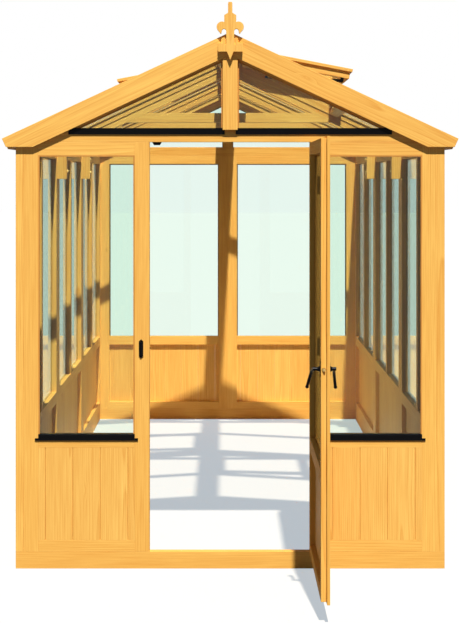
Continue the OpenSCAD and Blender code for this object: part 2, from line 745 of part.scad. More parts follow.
// Inner frame of the door, which fits in the opening
module door_frame() door_pose() color("goldenrod") difference() {
    union() {
        x1 = door_in_w / 2;
        y0 = wall_door_y;
        y1 = door_in_y;
        for (s = [0, 1]) mirror([s, 0, 0]) slab([door_glass_x, y0, door_in_z0], [x1, y1, door_in_z1]);
        slab([-door_glass_x, y0, door_in_z0], [door_glass_x, y1, base_h + bottom_rail_h]);
        slab([-door_glass_x, y0, mid_rail_z], [door_glass_x, y1, window_z]);
        slab([-door_glass_x, y0, window_top], [door_glass_x, y1, door_in_z1]);
    }
    latch_axis() translate([0, 0, -1]) cylinder(r = latch_case_r, h = backset + latch_case_r + 1);
    spindle_axis() translate([0, 0, -big / 2]) cylinder(r = spindle_r + 1, h = big);
}

// Facing of the door, which laps over the posts
module door_facing() door_pose() color("goldenrod") difference() {
    union() {
        x1 = door_out_w / 2;
        for (s = [0, 1]) mirror([s, 0, 0]) slab([door_glass_x, door_y, door_out_z0], [x1, wall_door_y, door_out_z1]);
        slab([-door_glass_x, door_y, door_out_z0], [door_glass_x, wall_door_y, base_h + bottom_rail_h]);
        slab([-door_glass_x, door_y, mid_rail_z], [door_glass_x, wall_door_y, window_z]);
        slab([-door_glass_x, door_y, window_top], [door_glass_x, wall_door_y, door_out_z1]);
    }
    spindle_axis() translate([0, 0, -big / 2]) cylinder(r = spindle_r + 1, h = big);
}

module door_boards() door_pose()
    translate([-door_glass_x, door_y + facing_t - board_t, base_h + bottom_rail_h])
        boarding(2 * door_glass_x, mid_rail_z - base_h - bottom_rail_h);

module door_glass() door_pose() color("honeydew", 0.4)
    slab([-door_glass_x, door_y + glass_in, window_z], [door_glass_x, door_y + glass_in + glass_t, window_top]);

module door_beads() door_pose() color("peru")
    translate([-door_glass_x, door_y, window_z]) bead_set(2 * door_glass_x, window_top - window_z, true);

// Axes on the shut door: the latch runs in from the door's free edge, the spindle runs inwards
module latch_axis() translate([-door_in_w / 2, latch_y, handle_z]) rotate([0, 90, 0]) children();
module spindle_axis() translate([spindle_x, latch_y, handle_z]) rotate([-90, 0, 0]) children();

// Tubular latch in the door's free stile, bored for the bolt and the spindle
module latch_case() door_pose() color("dimgray") difference() {
    latch_axis() cylinder(r = latch_case_r, h = backset + latch_case_r);
    latch_axis() translate([0, 0, -1]) cylinder(r = latch_r + run_gap, h = backset - spindle_r);
    spindle_axis() translate([0, 0, -big / 2]) cylinder(r = spindle_r + run_gap, h = big);
}

module latch_bolt() door_pose() color("dimgray") latch_axis() translate([0, 0, -latch_out]) difference() {
    cylinder(r = latch_r, h = latch_l);
    translate([-2 * latch_r, 0, 0]) rotate([90, 0, 90]) linear_extrude(4 * latch_r)
        polygon([[-latch_r / 2, -1], [latch_r + 1, -1], [latch_r + 1, latch_out - 2]]);
}

// Pointed plates with a boss, on both faces of the door
module handle_plates() door_pose() color("black") difference() {
    for (face = [0, 1]) translate([spindle_x, face ? door_in_y : door_y, handle_z]) mirror([0, 1 - face, 0]) {
        pointed_plate(2 * (boss_r + plate_rim), plate_h, plate_t);
        translate([0, plate_t, 0]) rotate([-90, 0, 0]) cylinder(r1 = boss_r, r2 = boss_end_r, h = boss_t);
    }
    spindle_axis() translate([0, 0, -big / 2]) cylinder(r = spindle_r + run_gap, h = big);
}

// Two levers on one spindle, bent down towards the hinges
module door_handle() door_pose() color("black") {
    out0 = door_y - plate_t - boss_t - end_gap;
    in0 = door_in_y + plate_t + boss_t + end_gap;
    translate([spindle_x, out0 - lever_r, handle_z]) rotate([-90, 0, 0])
        cylinder(r = spindle_r, h = in0 - out0 + 2 * lever_r);
    for (face = [0, 1]) translate([spindle_x, face ? in0 : out0, handle_z]) mirror([0, 1 - face, 0]) {
        neck_l = face ? neck_in_l : neck_out_l;
        rotate([-90, 0, 0]) cylinder(r = neck_r, h = neck_l);
        translate([0, neck_l - lever_r, 0]) rotate([face ? splay_in : splay_out, 0, 0]) {
            translate([0, 0, -lever_bend_r]) rotate([90, 0, 0])
                rotate([0, 0, 90 - lever_bend]) rotate_extrude(angle = lever_bend)
                    translate([lever_bend_r, 0]) circle(lever_r, $fn = 24);
            translate([lever_bend_r * sin(lever_bend), 0, -lever_bend_r * (1 - cos(lever_bend))])
                sphere(lever_end_r);
        }
    }
}

// Turns what is drawn on a shut vent to where it stands open, on its slope
module vent_pose(side)
    on_slope(side) translate([vent_pivot_s, 0, vent_pivot_n]) rotate([0, -vent_open, 0])
        translate([-vent_pivot_s, 0, -vent_pivot_n]) children();

// Sash of a vent: an inner frame in the opening under a facing that laps over the roof
module vent_sash(side) vent_pose(side) color("goldenrod") {
    y0 = vent_y(side);
    glass_s0 = sash_s + vent_member_w;
    glass_s1 = vent_bottom + vent_lap - vent_member_w;
    glass_y0 = y0 - vent_lap + vent_member_w;
    glass_y1 = y0 + pane_w + vent_lap - vent_member_w;
    n1 = vent_seat + vent_facing_t;
    ring([sash_s, y0 - vent_lap], [vent_bottom + vent_lap, y0 + pane_w + vent_lap],
         [glass_s0, glass_y0], [glass_s1, glass_y1], vent_seat, n1);
    ring([roof_rail_w + vent_gap, y0 + vent_gap], [vent_bottom - vent_gap, y0 + pane_w - vent_gap],
         [glass_s0, glass_y0], [glass_s1, glass_y1], vent_seat - vent_inner_t, vent_seat);
}

// Four members round an opening, given by outer and inner corners, between two levels
module ring(a, b, c, d, n0, n1) {
    slab([a[0], a[1], n0], [b[0], c[1], n1]);
    slab([a[0], d[1], n0], [b[0], b[1], n1]);
    slab([a[0], c[1], n0], [c[0], d[1], n1]);
    slab([d[0], c[1], n0], [b[0], d[1], n1]);
}

module vent_glass(side) vent_pose(side) color("honeydew", 0.4)
    slab([sash_s + vent_member_w, vent_y(side) - vent_lap + vent_member_w, vent_seat],
         [vent_bottom + vent_lap - vent_member_w, vent_y(side) + pane_w + vent_lap - vent_member_w, vent_seat + glass_t]);

// Middles of the two hinges of a vent, along Y
function vent_hinge_ys(side) = [vent_y(side) + pane_w / 5, vent_y(side) + pane_w * 4 / 5];

// Moving hinge leaves with their pins, and the pivot bracket of the stay
module vent_fittings(side) vent_pose(side) color("black") {
    for (y = vent_hinge_ys(side)) {
        translate([vent_pivot_s, y - vent_hinge_l / 2, vent_pivot_n]) rotate([-90, 0, 0]) {
            cylinder(r = vent_pin_r, h = vent_hinge_l);
            translate([0, 0, vent_hinge_l / 3]) cylinder(r = vent_knuckle_r, h = vent_hinge_l / 3);
        }
        slab([vent_pivot_s, y - vent_hinge_l / 6, vent_pivot_n + vent_knuckle_r - vent_leaf_t],
             [vent_pivot_s + vent_knuckle_r, y + vent_hinge_l / 6, vent_seat + vent_facing_t + vent_leaf_t]);
        slab([vent_pivot_s, y - vent_hinge_l / 2, vent_seat + vent_facing_t],
             [vent_pivot_s + vent_leaf_w, y + vent_hinge_l / 2, vent_seat + vent_facing_t + vent_leaf_t]);
    }
    translate([stay_pivot_s, stay_y(side), stay_pivot_n]) stay_bracket();
}

// Middle of a stay, along Y, beside the front edge of the vent's opening
function stay_y(side) = vent_y(side) + stay_peg_l + end_gap + stay_t / 2;

// Two ears with a pin, hung under the sash's front member
module stay_bracket() {
    ear_t = 3;
    ear_w = 16;
    flange = 12;
    ear_y = stay_t / 2 + end_gap;
    top = vent_seat - vent_inner_t - stay_pivot_n;
    for (s = [0, 1]) mirror([0, s, 0]) {
        slab([-ear_w / 2, ear_y, 0], [ear_w / 2, ear_y + ear_t, top]);
        translate([0, ear_y, 0]) rotate([-90, 0, 0]) cylinder(r = ear_w / 2, h = ear_t);
    }
    slab([-ear_w / 2, -ear_y - ear_t, top - ear_t], [ear_w / 2, ear_y + flange, top]);
    translate([0, -ear_y - ear_t, 0]) rotate([-90, 0, 0]) cylinder(r = stay_pin_r, h = 2 * (ear_y + ear_t));
}

// The stay's pivot where the vent stands open, and the peg's distance from it along the stay
pivot_ds = stay_pivot_s - vent_pivot_s;
pivot_dn = stay_pivot_n - vent_pivot_n;
open_s = vent_pivot_s + pivot_ds * cos(vent_open) - pivot_dn * sin(vent_open);
open_n = vent_pivot_n + pivot_ds * sin(vent_open) + pivot_dn * cos(vent_open);
stay_reach = (open_n - stay_peg_n) / sin(stay_fall);

// Stay: a flat bar that hangs from the sash's bracket towards the ridge, slotted for the peg
module vent_stay(side) color("black")
    on_slope(side) translate([open_s, stay_y(side), open_n]) rotate([0, -stay_fall, 0]) difference() {
        flat_link(stay_w / 2, 0, stay_l, stay_t);
        pin_bore(stay_pin_r + run_gap, 0, 4 * stay_t);
        flat_link(stay_slot_r, stay_reach - stay_slot_in, stay_reach + stay_slot_out, 4 * stay_t);
    }

// Round bore or end through the stay's thickness, at a distance up the slope from its pivot
module pin_bore(r, at, t) translate([-at, t / 2, 0]) rotate([90, 0, 0]) cylinder(r = r, h = t);

// Flat bar or slot with round ends between two distances from the pivot
module flat_link(r, from, to, t) {
    pin_bore(r, from, t);
    pin_bore(r, to, t);
    slab([-to, -t / 2, -r], [-from, t / 2, r]);
}

// Fixed hinge leaves on the ridge capping, and the peg that a stay is hooked on
module vent_bracket(side) color("black") {
    seat = -vent_knuckle_r - eps_gap;
    on_slope(side) for (y = vent_hinge_ys(side)) {
        for (k = [0, 1]) translate([vent_pivot_s, y - vent_hinge_l / 2 + k * vent_hinge_l * 2 / 3, vent_pivot_n]) difference() {
            union() {
                rotate([-90, 0, 0]) translate([0, 0, k * end_gap]) cylinder(r = vent_knuckle_r, h = vent_hinge_l / 3 - end_gap);
                slab([-vent_knuckle_r - 1, k * end_gap, seat], [0, vent_hinge_l / 3 - (1 - k) * end_gap, seat + vent_leaf_t]);
            }
            rotate([-90, 0, 0]) translate([0, 0, -1]) cylinder(r = vent_pin_r + run_gap, h = vent_hinge_l);
        }
        slab([vent_pivot_s - vent_leaf_w, y - vent_hinge_l / 2, cap_t],
             [vent_pivot_s - vent_knuckle_r - eps_gap, y + vent_hinge_l / 2, cap_t + vent_leaf_t]);
    }
    on_slope(side) stay_peg(side);
}

// Peg on a rose, fixed to the front edge of the opening, which ends just short of the stay's slot
module stay_peg(side) {
    rose_r = 5.5;
    rose_t = 2;
    peg_s = open_s - stay_reach * cos(stay_fall);
    translate([peg_s, vent_y(side), stay_peg_n]) rotate([-90, 0, 0]) {
        cylinder(r = rose_r, h = rose_t);
        cylinder(r = stay_pin_r, h = stay_peg_l);
    }
}

front_threshold();
base_rails();
front_panel_left();
front_right() wall_frame(front_w, front_panes);  // front_panel_right
left_panel(0);  // left_panel_1
left_panel(1);  // left_panel_2
left_panel(2);  // left_panel_3
right_panel(0);  // right_panel_1
right_panel(1);  // right_panel_2
right_panel(2);  // right_panel_3
back_left() wall_frame(back_w, back_panes);  // back_panel_left
back_right() wall_frame(back_w, back_panes);  // back_panel_right
gable(front_y);  // front_gable
gable(back_y - frame_t);  // back_gable
union() { front_left() wall_boards(front_w); front_right() wall_boards(front_w); }  // front_boards
for (i = [0 : bays - 1]) in_left(i) wall_boards(bay_len);  // left_boards
for (i = [0 : bays - 1]) in_right(i) wall_boards(bay_len);  // right_boards
union() { back_left() wall_boards(back_w); back_right() wall_boards(back_w); }  // back_boards
front_glass();
side_glass();
back_glass();
roof_glass();
black_sills();
glazing_beads();
truss(1);  // front_truss
truss(2);  // back_truss
truss_bolts();
ridge_board();
ridge_capping();
roof_panel(-1, 0);  // left_roof_1
roof_panel(-1, 1);  // left_roof_2
roof_panel(-1, 2);  // left_roof_3
roof_panel(1, 0);  // right_roof_1
roof_panel(1, 1);  // right_roof_2
roof_panel(1, 2);  // right_roof_3
union() { barge_boards(front_y - barge_t); king_post_facing(front_y - barge_t); }  // front_barge_boards
union() { barge_boards(back_y); king_post_facing(back_y); }  // back_barge_boards
finial();
door_keeps();
door_hinge_leaves();
union() { vent_bracket(-1); vent_bracket(1); }  // vent_brackets
door_frame();
door_facing();
door_boards();
door_glass();
door_beads();
door_hinge_flaps();
latch_case();
handle_plates();
door_handle();
latch_bolt();
vent_sash(-1);  // left_vent_sash
vent_glass(-1);  // left_vent_glass
vent_fittings(-1);  // left_vent_fittings
vent_stay(-1);  // left_vent_stay
vent_sash(1);  // right_vent_sash
vent_glass(1);  // right_vent_glass
vent_fittings(1);  // right_vent_fittings
vent_stay(1);  // right_vent_stay
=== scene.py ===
import math
import random

import bmesh
import bpy
from mathutils import Matrix, Vector


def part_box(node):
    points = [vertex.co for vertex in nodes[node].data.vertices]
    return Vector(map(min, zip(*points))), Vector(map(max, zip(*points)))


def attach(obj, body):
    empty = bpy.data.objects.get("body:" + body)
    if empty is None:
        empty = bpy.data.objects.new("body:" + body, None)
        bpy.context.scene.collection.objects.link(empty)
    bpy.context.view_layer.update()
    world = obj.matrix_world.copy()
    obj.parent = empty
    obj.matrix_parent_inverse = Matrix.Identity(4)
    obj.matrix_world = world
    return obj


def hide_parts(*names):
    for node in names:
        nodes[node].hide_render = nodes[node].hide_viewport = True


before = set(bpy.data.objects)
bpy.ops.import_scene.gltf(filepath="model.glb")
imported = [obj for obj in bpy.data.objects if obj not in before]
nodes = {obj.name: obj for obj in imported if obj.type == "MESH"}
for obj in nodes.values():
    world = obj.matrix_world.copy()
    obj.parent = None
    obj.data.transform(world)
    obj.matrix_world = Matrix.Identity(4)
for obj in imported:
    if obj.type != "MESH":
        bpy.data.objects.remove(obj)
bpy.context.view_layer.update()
random.seed(11)

# Sizes of the house in metres, as the construction has them
FRAME_T = 0.034
STILE_W = 0.065
MULLION_W = 0.044
BASE_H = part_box("front_threshold")[1].z
EAVES_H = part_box("front_gable")[0].z
HOUSE_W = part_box("front_threshold")[1].x * 2
FRONT_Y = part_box("front_threshold")[0].y
BACK_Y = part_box("back_gable")[1].y
BAYS = 3
BAY_LEN = (BACK_Y - FRONT_Y) / BAYS
INNER_X = HOUSE_W / 2 - FRAME_T
PITCH = math.radians(25)
SLOPE = math.tan(PITCH)

# Wall panels
BOTTOM_RAIL_H = 0.050
MID_RAIL_H = 0.060
TOP_RAIL_H = 0.058
WINDOW_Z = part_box("door_glass")[0].z
MID_RAIL_Z = WINDOW_Z - MID_RAIL_H
WINDOW_TOP = EAVES_H - TOP_RAIL_H
SILL_H = 0.028
SILL_LIP_H = 0.010
SILL_LIP_END = 0.015
SILL_PROUD = 0.005
SILL_FALL = 0.003
TONGUE_H = SILL_H - SILL_LIP_H
GLASS_IN = 0.008
BEAD_W = 0.006
BOARD_COVER = 0.120
BOARD_T = 0.012
BOARD_V = 0.0025
BOARD_GAP = 0.0004
BOARD_END_MIN = 0.020

# Gables, trusses and roof. An apex is the height at which a sloping plane crosses the middle of the house
BARGE_PROUD = 0.018
BARGE_W = 0.090
BARGE_T = 0.018
GABLE_SLOPE_W = 0.045
TRUSS_SLOPE_W = 0.034
UNDER_APEX = EAVES_H + SLOPE * INNER_X
ROOF_APEX = UNDER_APEX + FRAME_T / math.cos(PITCH)
BARGE_APEX = ROOF_APEX + BARGE_PROUD / math.cos(PITCH)
BARGE_LOW_APEX = BARGE_APEX - BARGE_W / math.cos(PITCH)
GABLE_IN_APEX = UNDER_APEX - GABLE_SLOPE_W / math.cos(PITCH)
TRUSS_IN_APEX = UNDER_APEX - TRUSS_SLOPE_W / math.cos(PITCH)
KING_W = 0.066
GABLE_RAIL_H = 0.061
GABLE_RAIL_TOP = EAVES_H + GABLE_RAIL_H
GABLE_LIP_END = 0.009
GABLE_SILL_END = 0.706
BARGE_OVERHANG = 0.058
ROOF_SHORT = 0.010
TIP_X = HOUSE_W / 2 + BARGE_OVERHANG
BARGE_TAIL_DROP = 0.022
BARGE_TAIL_Z = EAVES_H - BARGE_TAIL_DROP
ROOF_RAIL_W = 0.065
ROOF_LEN = (HOUSE_W / 2 + BARGE_OVERHANG - ROOF_SHORT) / math.cos(PITCH)
RIDGE_T = 0.034
RIDGE_DROP = 0.052
TRUSS_T = 0.045
TRUSS_BACK = 0.004
LEG_W = 0.053
LEG_DROP = 0.162
LEG_Z = EAVES_H - LEG_DROP
TIE_RISE = 0.183
TIE_TOP_Z = EAVES_H + TIE_RISE
TIE_H = 0.050
FINIAL_T = 0.020

# Door
DOOR_W = 0.704
FACING_T = 0.012
HANDLE_Z = 0.972
LATCH_Y = (FRAME_T - FACING_T) / 2
STRIKE_R = 0.007
STRIKE_DEPTH = 0.011
DOOR_GAP = 0.004
DOOR_FOOT_GAP = 0.010
FACING_RUN = 0.007
DOOR_LAP = 0.014
EPS_GAP = 0.0005
KNUCKLE_R = 0.0065
HINGE_LEAF_T = 0.0025
HINGE_LEAF_GAP = 0.001
DOOR_OPEN = math.radians(90)

# Ridge capping and vents. S runs down a slope from the ridge
CAP_W = 0.060
CAP_T = 0.018
VENT_PIVOT_S = 0.030
VENT_BOTTOM = 0.592
VENT_LAP = 0.006
VENT_GAP = 0.003
VENT_FACING_T = 0.015
VENT_INNER_T = 0.034
VENT_MEMBER_W = 0.060
VENT_KNUCKLE_R = 0.004
VENT_SEAT = CAP_T + EPS_GAP
SASH_S = VENT_PIVOT_S + VENT_KNUCKLE_R + EPS_GAP
CURB_W = 0.010
VENT_OPEN = math.radians(14.1)
FOOT_TRIMMER_W = 0.044
PANE_W = (BAY_LEN - 2 * STILE_W - MULLION_W) / 2
SLOPES = ((-1, "left"), (1, "right"))

# Width of the eased edges of the members, of beads and sills, of boards and of the finial
ARRIS = 0.0012
FINE_ARRIS = 0.0008
BOARD_ARRIS = 0.0004
FINIAL_ARRIS = 0.0006

# Where a member was cut from the trunk: aside from the pith, away from the pith and along the trunk
PITH_ASIDE = (-0.05, 0.05)
PITH_AWAY = (0.02, 0.09)
ALONG_TRUNK = (0, 40)

# Points less far apart in depth than this are on one face
NO_DEPTH = 1e-6


def ident():
    return Matrix.Identity(4)


def move(x=0.0, y=0.0, z=0.0):
    return Matrix.Translation((x, y, z))


def turn(degrees, axis):
    return Matrix.Rotation(math.radians(degrees), 4, axis)


def turn_about(point, angle, axis):
    return Matrix.Translation(point) @ Matrix.Rotation(angle, 4, axis) @ Matrix.Translation(-point)


def both_sides():
    """Places for a member of the right half and for its mirror image on the left."""
    return [Matrix.Diagonal((side, 1, 1, 1)) for side in (1, -1)]


def plane_x(apex, z):
    """Distance from the middle at which a sloping plane passes a height."""
    return (apex - z) / SLOPE


def bore_end(points, faces, depth, x, y, radius, hole):
    """Round blind hole in the far end of a four-sided prism. The end is redrawn as two faces around it."""
    end = next(face for face in faces if all(depth - points[k].z < NO_DEPTH for k in face))
    faces.remove(end)
    first = end.index(min(end, key=lambda k: points[k].x + points[k].y))
    corners = end[first:] + end[:first]
    steps = 16
    rim = range(len(points), len(points) + steps)
    foot = range(rim.stop, rim.stop + steps)
    for z in (depth, depth - hole):
        for i in range(steps):
            a = 2 * math.pi * i / steps
            points.append(Vector((x + radius * math.cos(a), y + radius * math.sin(a), z)))
    for i in range(steps):
        j = (i + 1) % steps
        faces.append([rim[i], rim[j], foot[j], foot[i]])
    faces.append(list(foot))
    # both faces run from one corner to the one across from it and back along the rim
    upper, lower = steps // 8, steps // 8 + steps // 2
    faces.append(corners[:3] + [rim[i % steps] for i in range(upper + steps, lower - 1, -1)])
    faces.append([corners[2], corners[3], corners[0]] + [rim[i] for i in range(lower, upper - 1, -1)])


class Joinery:
    """Collects the members of one piece, each with its own grain direction, offset and tint."""

    def __init__(self, name, place=None):
        self.name = name
        self.place = place or ident()
        self.verts = []
        self.faces = []
        self.grain = []
        self.tint = []

    def prism(self, outline, depth, to_place, grain, arris=ARRIS, place=None, bore=None):
        """A member with an outline in its own XY, made thick along its own Z. grain is a direction there."""
        bm = bmesh.new()
        low = [bm.verts.new((x, y, 0.0)) for x, y in outline]
        high = [bm.verts.new((x, y, depth)) for x, y in outline]
        bm.faces.new(low[::-1])
        bm.faces.new(high)
        for i in range(len(outline)):
            j = (i + 1) % len(outline)
            bm.faces.new((low[i], low[j], high[j], high[i]))
        bmesh.ops.recalc_face_normals(bm, faces=bm.faces)
        if arris > 0:
            bmesh.ops.bevel(bm, geom=bm.edges[:], offset=arris, segments=2, profile=0.6,
                            affect="EDGES", clamp_overlap=True)
        points = [v.co.copy() for v in bm.verts]
        faces = [[v.index for v in f.verts] for f in bm.faces]
        bm.free()
        if bore:
            bore_end(points, faces, depth, *bore)
        middle = Vector([sum(p[k] for p in outline) / len(outline) for k in (0, 1)] + [depth / 2])
        self.add(points, faces, (place or self.place) @ to_place, middle, Vector(grain).normalized())

    def add(self, points, faces, matrix, middle, along):
        """Adds a member's points and faces, with each point's place in the trunk."""
        side = along.orthogonal().normalized()
        if abs(along.z) < 0.5:
            side = along.cross(Vector((0, 0, 1))).normalized()
        other = along.cross(side)
        shift = Vector([random.uniform(*span) for span in (PITH_ASIDE, PITH_AWAY, ALONG_TRUNK)])
        tint = random.uniform(0, 1)
        base = len(self.verts)
        flip = matrix.determinant() < 0
        for point in points:
            p = point - middle
            self.verts.append(matrix @ point)
            self.grain.append((p.dot(side) + shift.x, p.dot(other) + shift.y, p.dot(along) + shift.z))
            self.tint.append(tint)
        for face in faces:
            face = [base + k for k in face]
            self.faces.append(face[::-1] if flip else face)

    def block(self, a, b, axis, place=None, arris=ARRIS):
        """A box member between two corners, with its grain along one axis."""
        lo = [min(p, q) for p, q in zip(a, b)]
        hi = [max(p, q) for p, q in zip(a, b)]
        size = [q - p for p, q in zip(lo, hi)]
        grain = {"x": (1, 0, 0), "y": (0, 1, 0), "z": (0, 0, 1)}[axis]
        outline = [(0, 0), (size[0], 0), (size[0], size[1]), (0, size[1])]
        self.prism(outline, size[2], move(*lo), grain, arris, place)

    def upright(self, outline, y0, depth, grain, arris=ARRIS, place=None):
        """A member with an outline in X and Z, made thick from y0 inwards."""
        stand = move(0, y0 + depth, 0) @ turn(90, "X")
        self.prism(outline, depth, stand, (grain[0], grain[1], 0), arris, place)

    def along_x(self, outline, x0, length, arris=ARRIS, place=None, grain=(0, 0, 1), bore=None):
        """A member with a profile in Y and Z, run along X."""
        stand = move(x0, 0, 0) @ Matrix(((0, 0, 1, 0), (1, 0, 0, 0), (0, 1, 0, 0), (0, 0, 0, 1)))
        self.prism(outline, length, stand, grain, arris, place, bore)

    def along_y(self, outline, y0, length, grain=(0, 0, 1), place=None):
        """A member with a profile in X and Z, run along Y. On a slope these are the slope's own axes."""
        self.prism(outline, length, move(0, y0 + length, 0) @ turn(90, "X"), grain, place=place)

    def finish(self, material, body, slot, *replaced):
        """Makes the piece, with its grain and tint as attributes."""
        mesh = bpy.data.meshes.new(self.name)
        mesh.from_pydata([tuple(v) for v in self.verts], [], self.faces)
        grain = mesh.attributes.new("grain", "FLOAT_VECTOR", "POINT")
        grain.data.foreach_set("vector", [c for g in self.grain for c in g])
        tint = mesh.attributes.new("tint", "FLOAT", "POINT")
        tint.data.foreach_set("value", self.tint)
        mesh.materials.append(material)
        mesh.update()
        obj = bpy.data.objects.new(self.name, mesh)
        bpy.context.scene.collection.objects.link(obj)
        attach(obj, body)
        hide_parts(*replaced)


# Materials

def new_material(name):
    mat = bpy.data.materials.new(name)
    mat.use_nodes = True
    tree = mat.node_tree
    return mat, tree, tree.nodes["Principled BSDF"]


def node(tree, kind, inputs=None, **settings):
    """A shader node with its settings, and with links or values at its inputs."""
    n = tree.nodes.new(kind)
    for key, value in settings.items():
        setattr(n, key, value)
    for key, value in (inputs or {}).items():
        if isinstance(value, bpy.types.NodeSocket):
            tree.links.new(value, n.inputs[key])
        else:
            n.inputs[key].default_value = value
    return n


def math_node(tree, operation, a, b=0.0):
    return node(tree, "ShaderNodeMath", {0: a, 1: b}, operation=operation).outputs[0]


def vector_math(tree, operation, a, b=(0.0, 0.0, 0.0)):
    return node(tree, "ShaderNodeVectorMath", {0: a, 1: b}, operation=operation)


def weighted_sum(tree, *terms):
    """Sum of values, each times its weight."""
    parts = [math_node(tree, "MULTIPLY", value, weight) for value, weight in terms]
    total = parts[0]
    for part in parts[1:]:
        total = math_node(tree, "ADD", total, part)
    return total


def map_range(tree, value, source=(0.0, 1.0), target=(0.0, 1.0), kind="LINEAR"):
    ends = {"From Min": source[0], "From Max": source[1], "To Min": target[0], "To Max": target[1]}
    return node(tree, "ShaderNodeMapRange", {"Value": value, **ends}, interpolation_type=kind).outputs[0]


def mix_color(tree, factor, a, b):
    return node(tree, "ShaderNodeMix", {"Factor": factor, 6: a, 7: b}, data_type="RGBA").outputs[2]


def noise(tree, vector, detail, scale=1.0, roughness=0.5):
    inputs = {"Vector": vector, "Scale": scale, "Detail": detail, "Roughness": roughness}
    return node(tree, "ShaderNodeTexNoise", inputs)


def stretch(tree, grain, across, along):
    """Grain coordinates scaled across the member and along it."""
    return node(tree, "ShaderNodeMapping", {"Vector": grain, "Scale": (across, across, along)}).outputs[0]


def add_bump(tree, bsdf, height, strength, distance):
    n = node(tree, "ShaderNodeBump", {"Height": height, "Strength": strength, "Distance": distance})
    tree.links.new(n.outputs[0], bsdf.inputs["Normal"])


def ramp(tree, value, stops):
    """Grey levels at positions from 0 to 1."""
    n = node(tree, "ShaderNodeValToRGB", {"Fac": value})
    elements = n.color_ramp.elements
    while len(elements) > 1:
        elements.remove(elements[-1])
    elements[0].position = stops[0][0]
    elements[0].color = grey(stops[0][1])
    for position, level in stops[1:]:
        elements.new(position).color = grey(level)
    return n.outputs["Color"]


def grey(level):
    return (level, level, level, 1)


def srgb(r, g, b):
    def lin(c):
        c /= 255
        return c / 12.92 if c <= 0.04045 else ((c + 0.055) / 1.055) ** 2.4
    return (lin(r), lin(g), lin(b), 1.0)


RINGS_PER_METRE = 150.0
RINGS_ROUND_KNOT = 2.6
WOOD_ROUGH = (0.42, 0.62)
KNOT = srgb(120, 62, 22)


def wood(name, light, dark, knot_share, specular=0.35):
    """Stained softwood: growth rings about a pith outside the member, fine fibres, and a share of knots."""
    mat, tree, bsdf = new_material(name)
    grain = node(tree, "ShaderNodeAttribute", attribute_name="grain").outputs["Vector"]
    tint = node(tree, "ShaderNodeAttribute", attribute_name="tint").outputs["Fac"]
    # long waves bend the rings, so that flat faces show tongues and streaks
    wave = noise(tree, stretch(tree, grain, 9.0, 0.9), 2.0)
    bend = vector_math(tree, "MULTIPLY", wave.outputs["Color"], (0.03, 0.03, 0.0))
    moved = vector_math(tree, "ADD", grain, bend.outputs[0])
    flat = vector_math(tree, "MULTIPLY", moved.outputs[0], (1.0, 1.0, 0.0))
    radius = vector_math(tree, "LENGTH", flat.outputs[0]).outputs["Value"]
    # knots swell the rings round them
    spots = {"Vector": stretch(tree, grain, 13.0, 3.4), "Scale": 1.0, "Randomness": 1.0}
    cell = node(tree, "ShaderNodeTexVoronoi", spots)
    near = map_range(tree, cell.outputs["Distance"], (0.02, 0.30), (1.0, 0.0), "SMOOTHERSTEP")
    picked = node(tree, "ShaderNodeSeparateColor", {0: cell.outputs["Color"]}).outputs[0]
    chosen = math_node(tree, "GREATER_THAN", picked, 1.0 - knot_share)
    swell = math_node(tree, "MULTIPLY", near, chosen)
    rings = weighted_sum(tree, (radius, RINGS_PER_METRE), (swell, RINGS_ROUND_KNOT))
    late = ramp(tree, math_node(tree, "FRACT", rings), [(0.0, 0), (0.72, 0.55), (0.93, 1), (1.0, 0)])
    # late wood, fibres, clouds and the member's own tint share in how dark a point is
    fibre = noise(tree, stretch(tree, grain, 260.0, 5.0), 3.0, roughness=0.6).outputs["Fac"]
    cloud = noise(tree, stretch(tree, grain, 22.0, 2.4), 3.0, roughness=0.55).outputs["Fac"]
    share = weighted_sum(tree, (late, 0.22), (fibre, 0.62), (cloud, 0.26), (tint, 0.12))
    color = mix_color(tree, map_range(tree, share, (0.34, 0.86)), light, dark)
    core = map_range(tree, cell.outputs["Distance"], (0.04, 0.12), (1.0, 0.0), "SMOOTHSTEP")
    core = math_node(tree, "MULTIPLY", math_node(tree, "MULTIPLY", core, chosen), 0.75)
    tree.links.new(mix_color(tree, core, color, KNOT), bsdf.inputs["Base Color"])
    bsdf.inputs["Specular IOR Level"].default_value = specular
    tree.links.new(map_range(tree, fibre, target=WOOD_ROUGH), bsdf.inputs["Roughness"])
    height = math_node(tree, "ADD", fibre, math_node(tree, "MULTIPLY", late, 0.5))
    add_bump(tree, bsdf, height, 0.25, 0.0006)
    return mat


def glass():
    """Thin clear pane with a faint green tint. Light passes it straight, less what the pane mirrors."""
    mat, tree, bsdf = new_material("glass")
    bsdf.inputs["Base Color"].default_value = (0.835, 0.966, 0.895, 1)
    bsdf.inputs["Roughness"].default_value = 0.0
    bsdf.inputs["IOR"].default_value = 1.45
    bsdf.inputs["Specular IOR Level"].default_value = 0.12
    bsdf.inputs["Transmission Weight"].default_value = 1.0
    path = node(tree, "ShaderNodeLightPath")
    # a lower index than the glass's own keeps more of the grazing light
    mirrored = node(tree, "ShaderNodeFresnel", {"IOR": 1.28}).outputs[0]
    passed = mix_color(tree, mirrored, (0.955, 0.955, 0.925, 1), grey(0))
    clear = node(tree, "ShaderNodeBsdfTransparent", {"Color": passed})
    lighting = math_node(tree, "MAXIMUM", path.outputs["Is Shadow Ray"], path.outputs["Is Diffuse Ray"])
    mix = node(tree, "ShaderNodeMixShader", {0: lighting, 1: bsdf.outputs[0], 2: clear.outputs[0]})
    tree.links.new(mix.outputs[0], tree.nodes["Material Output"].inputs["Surface"])
    return mat


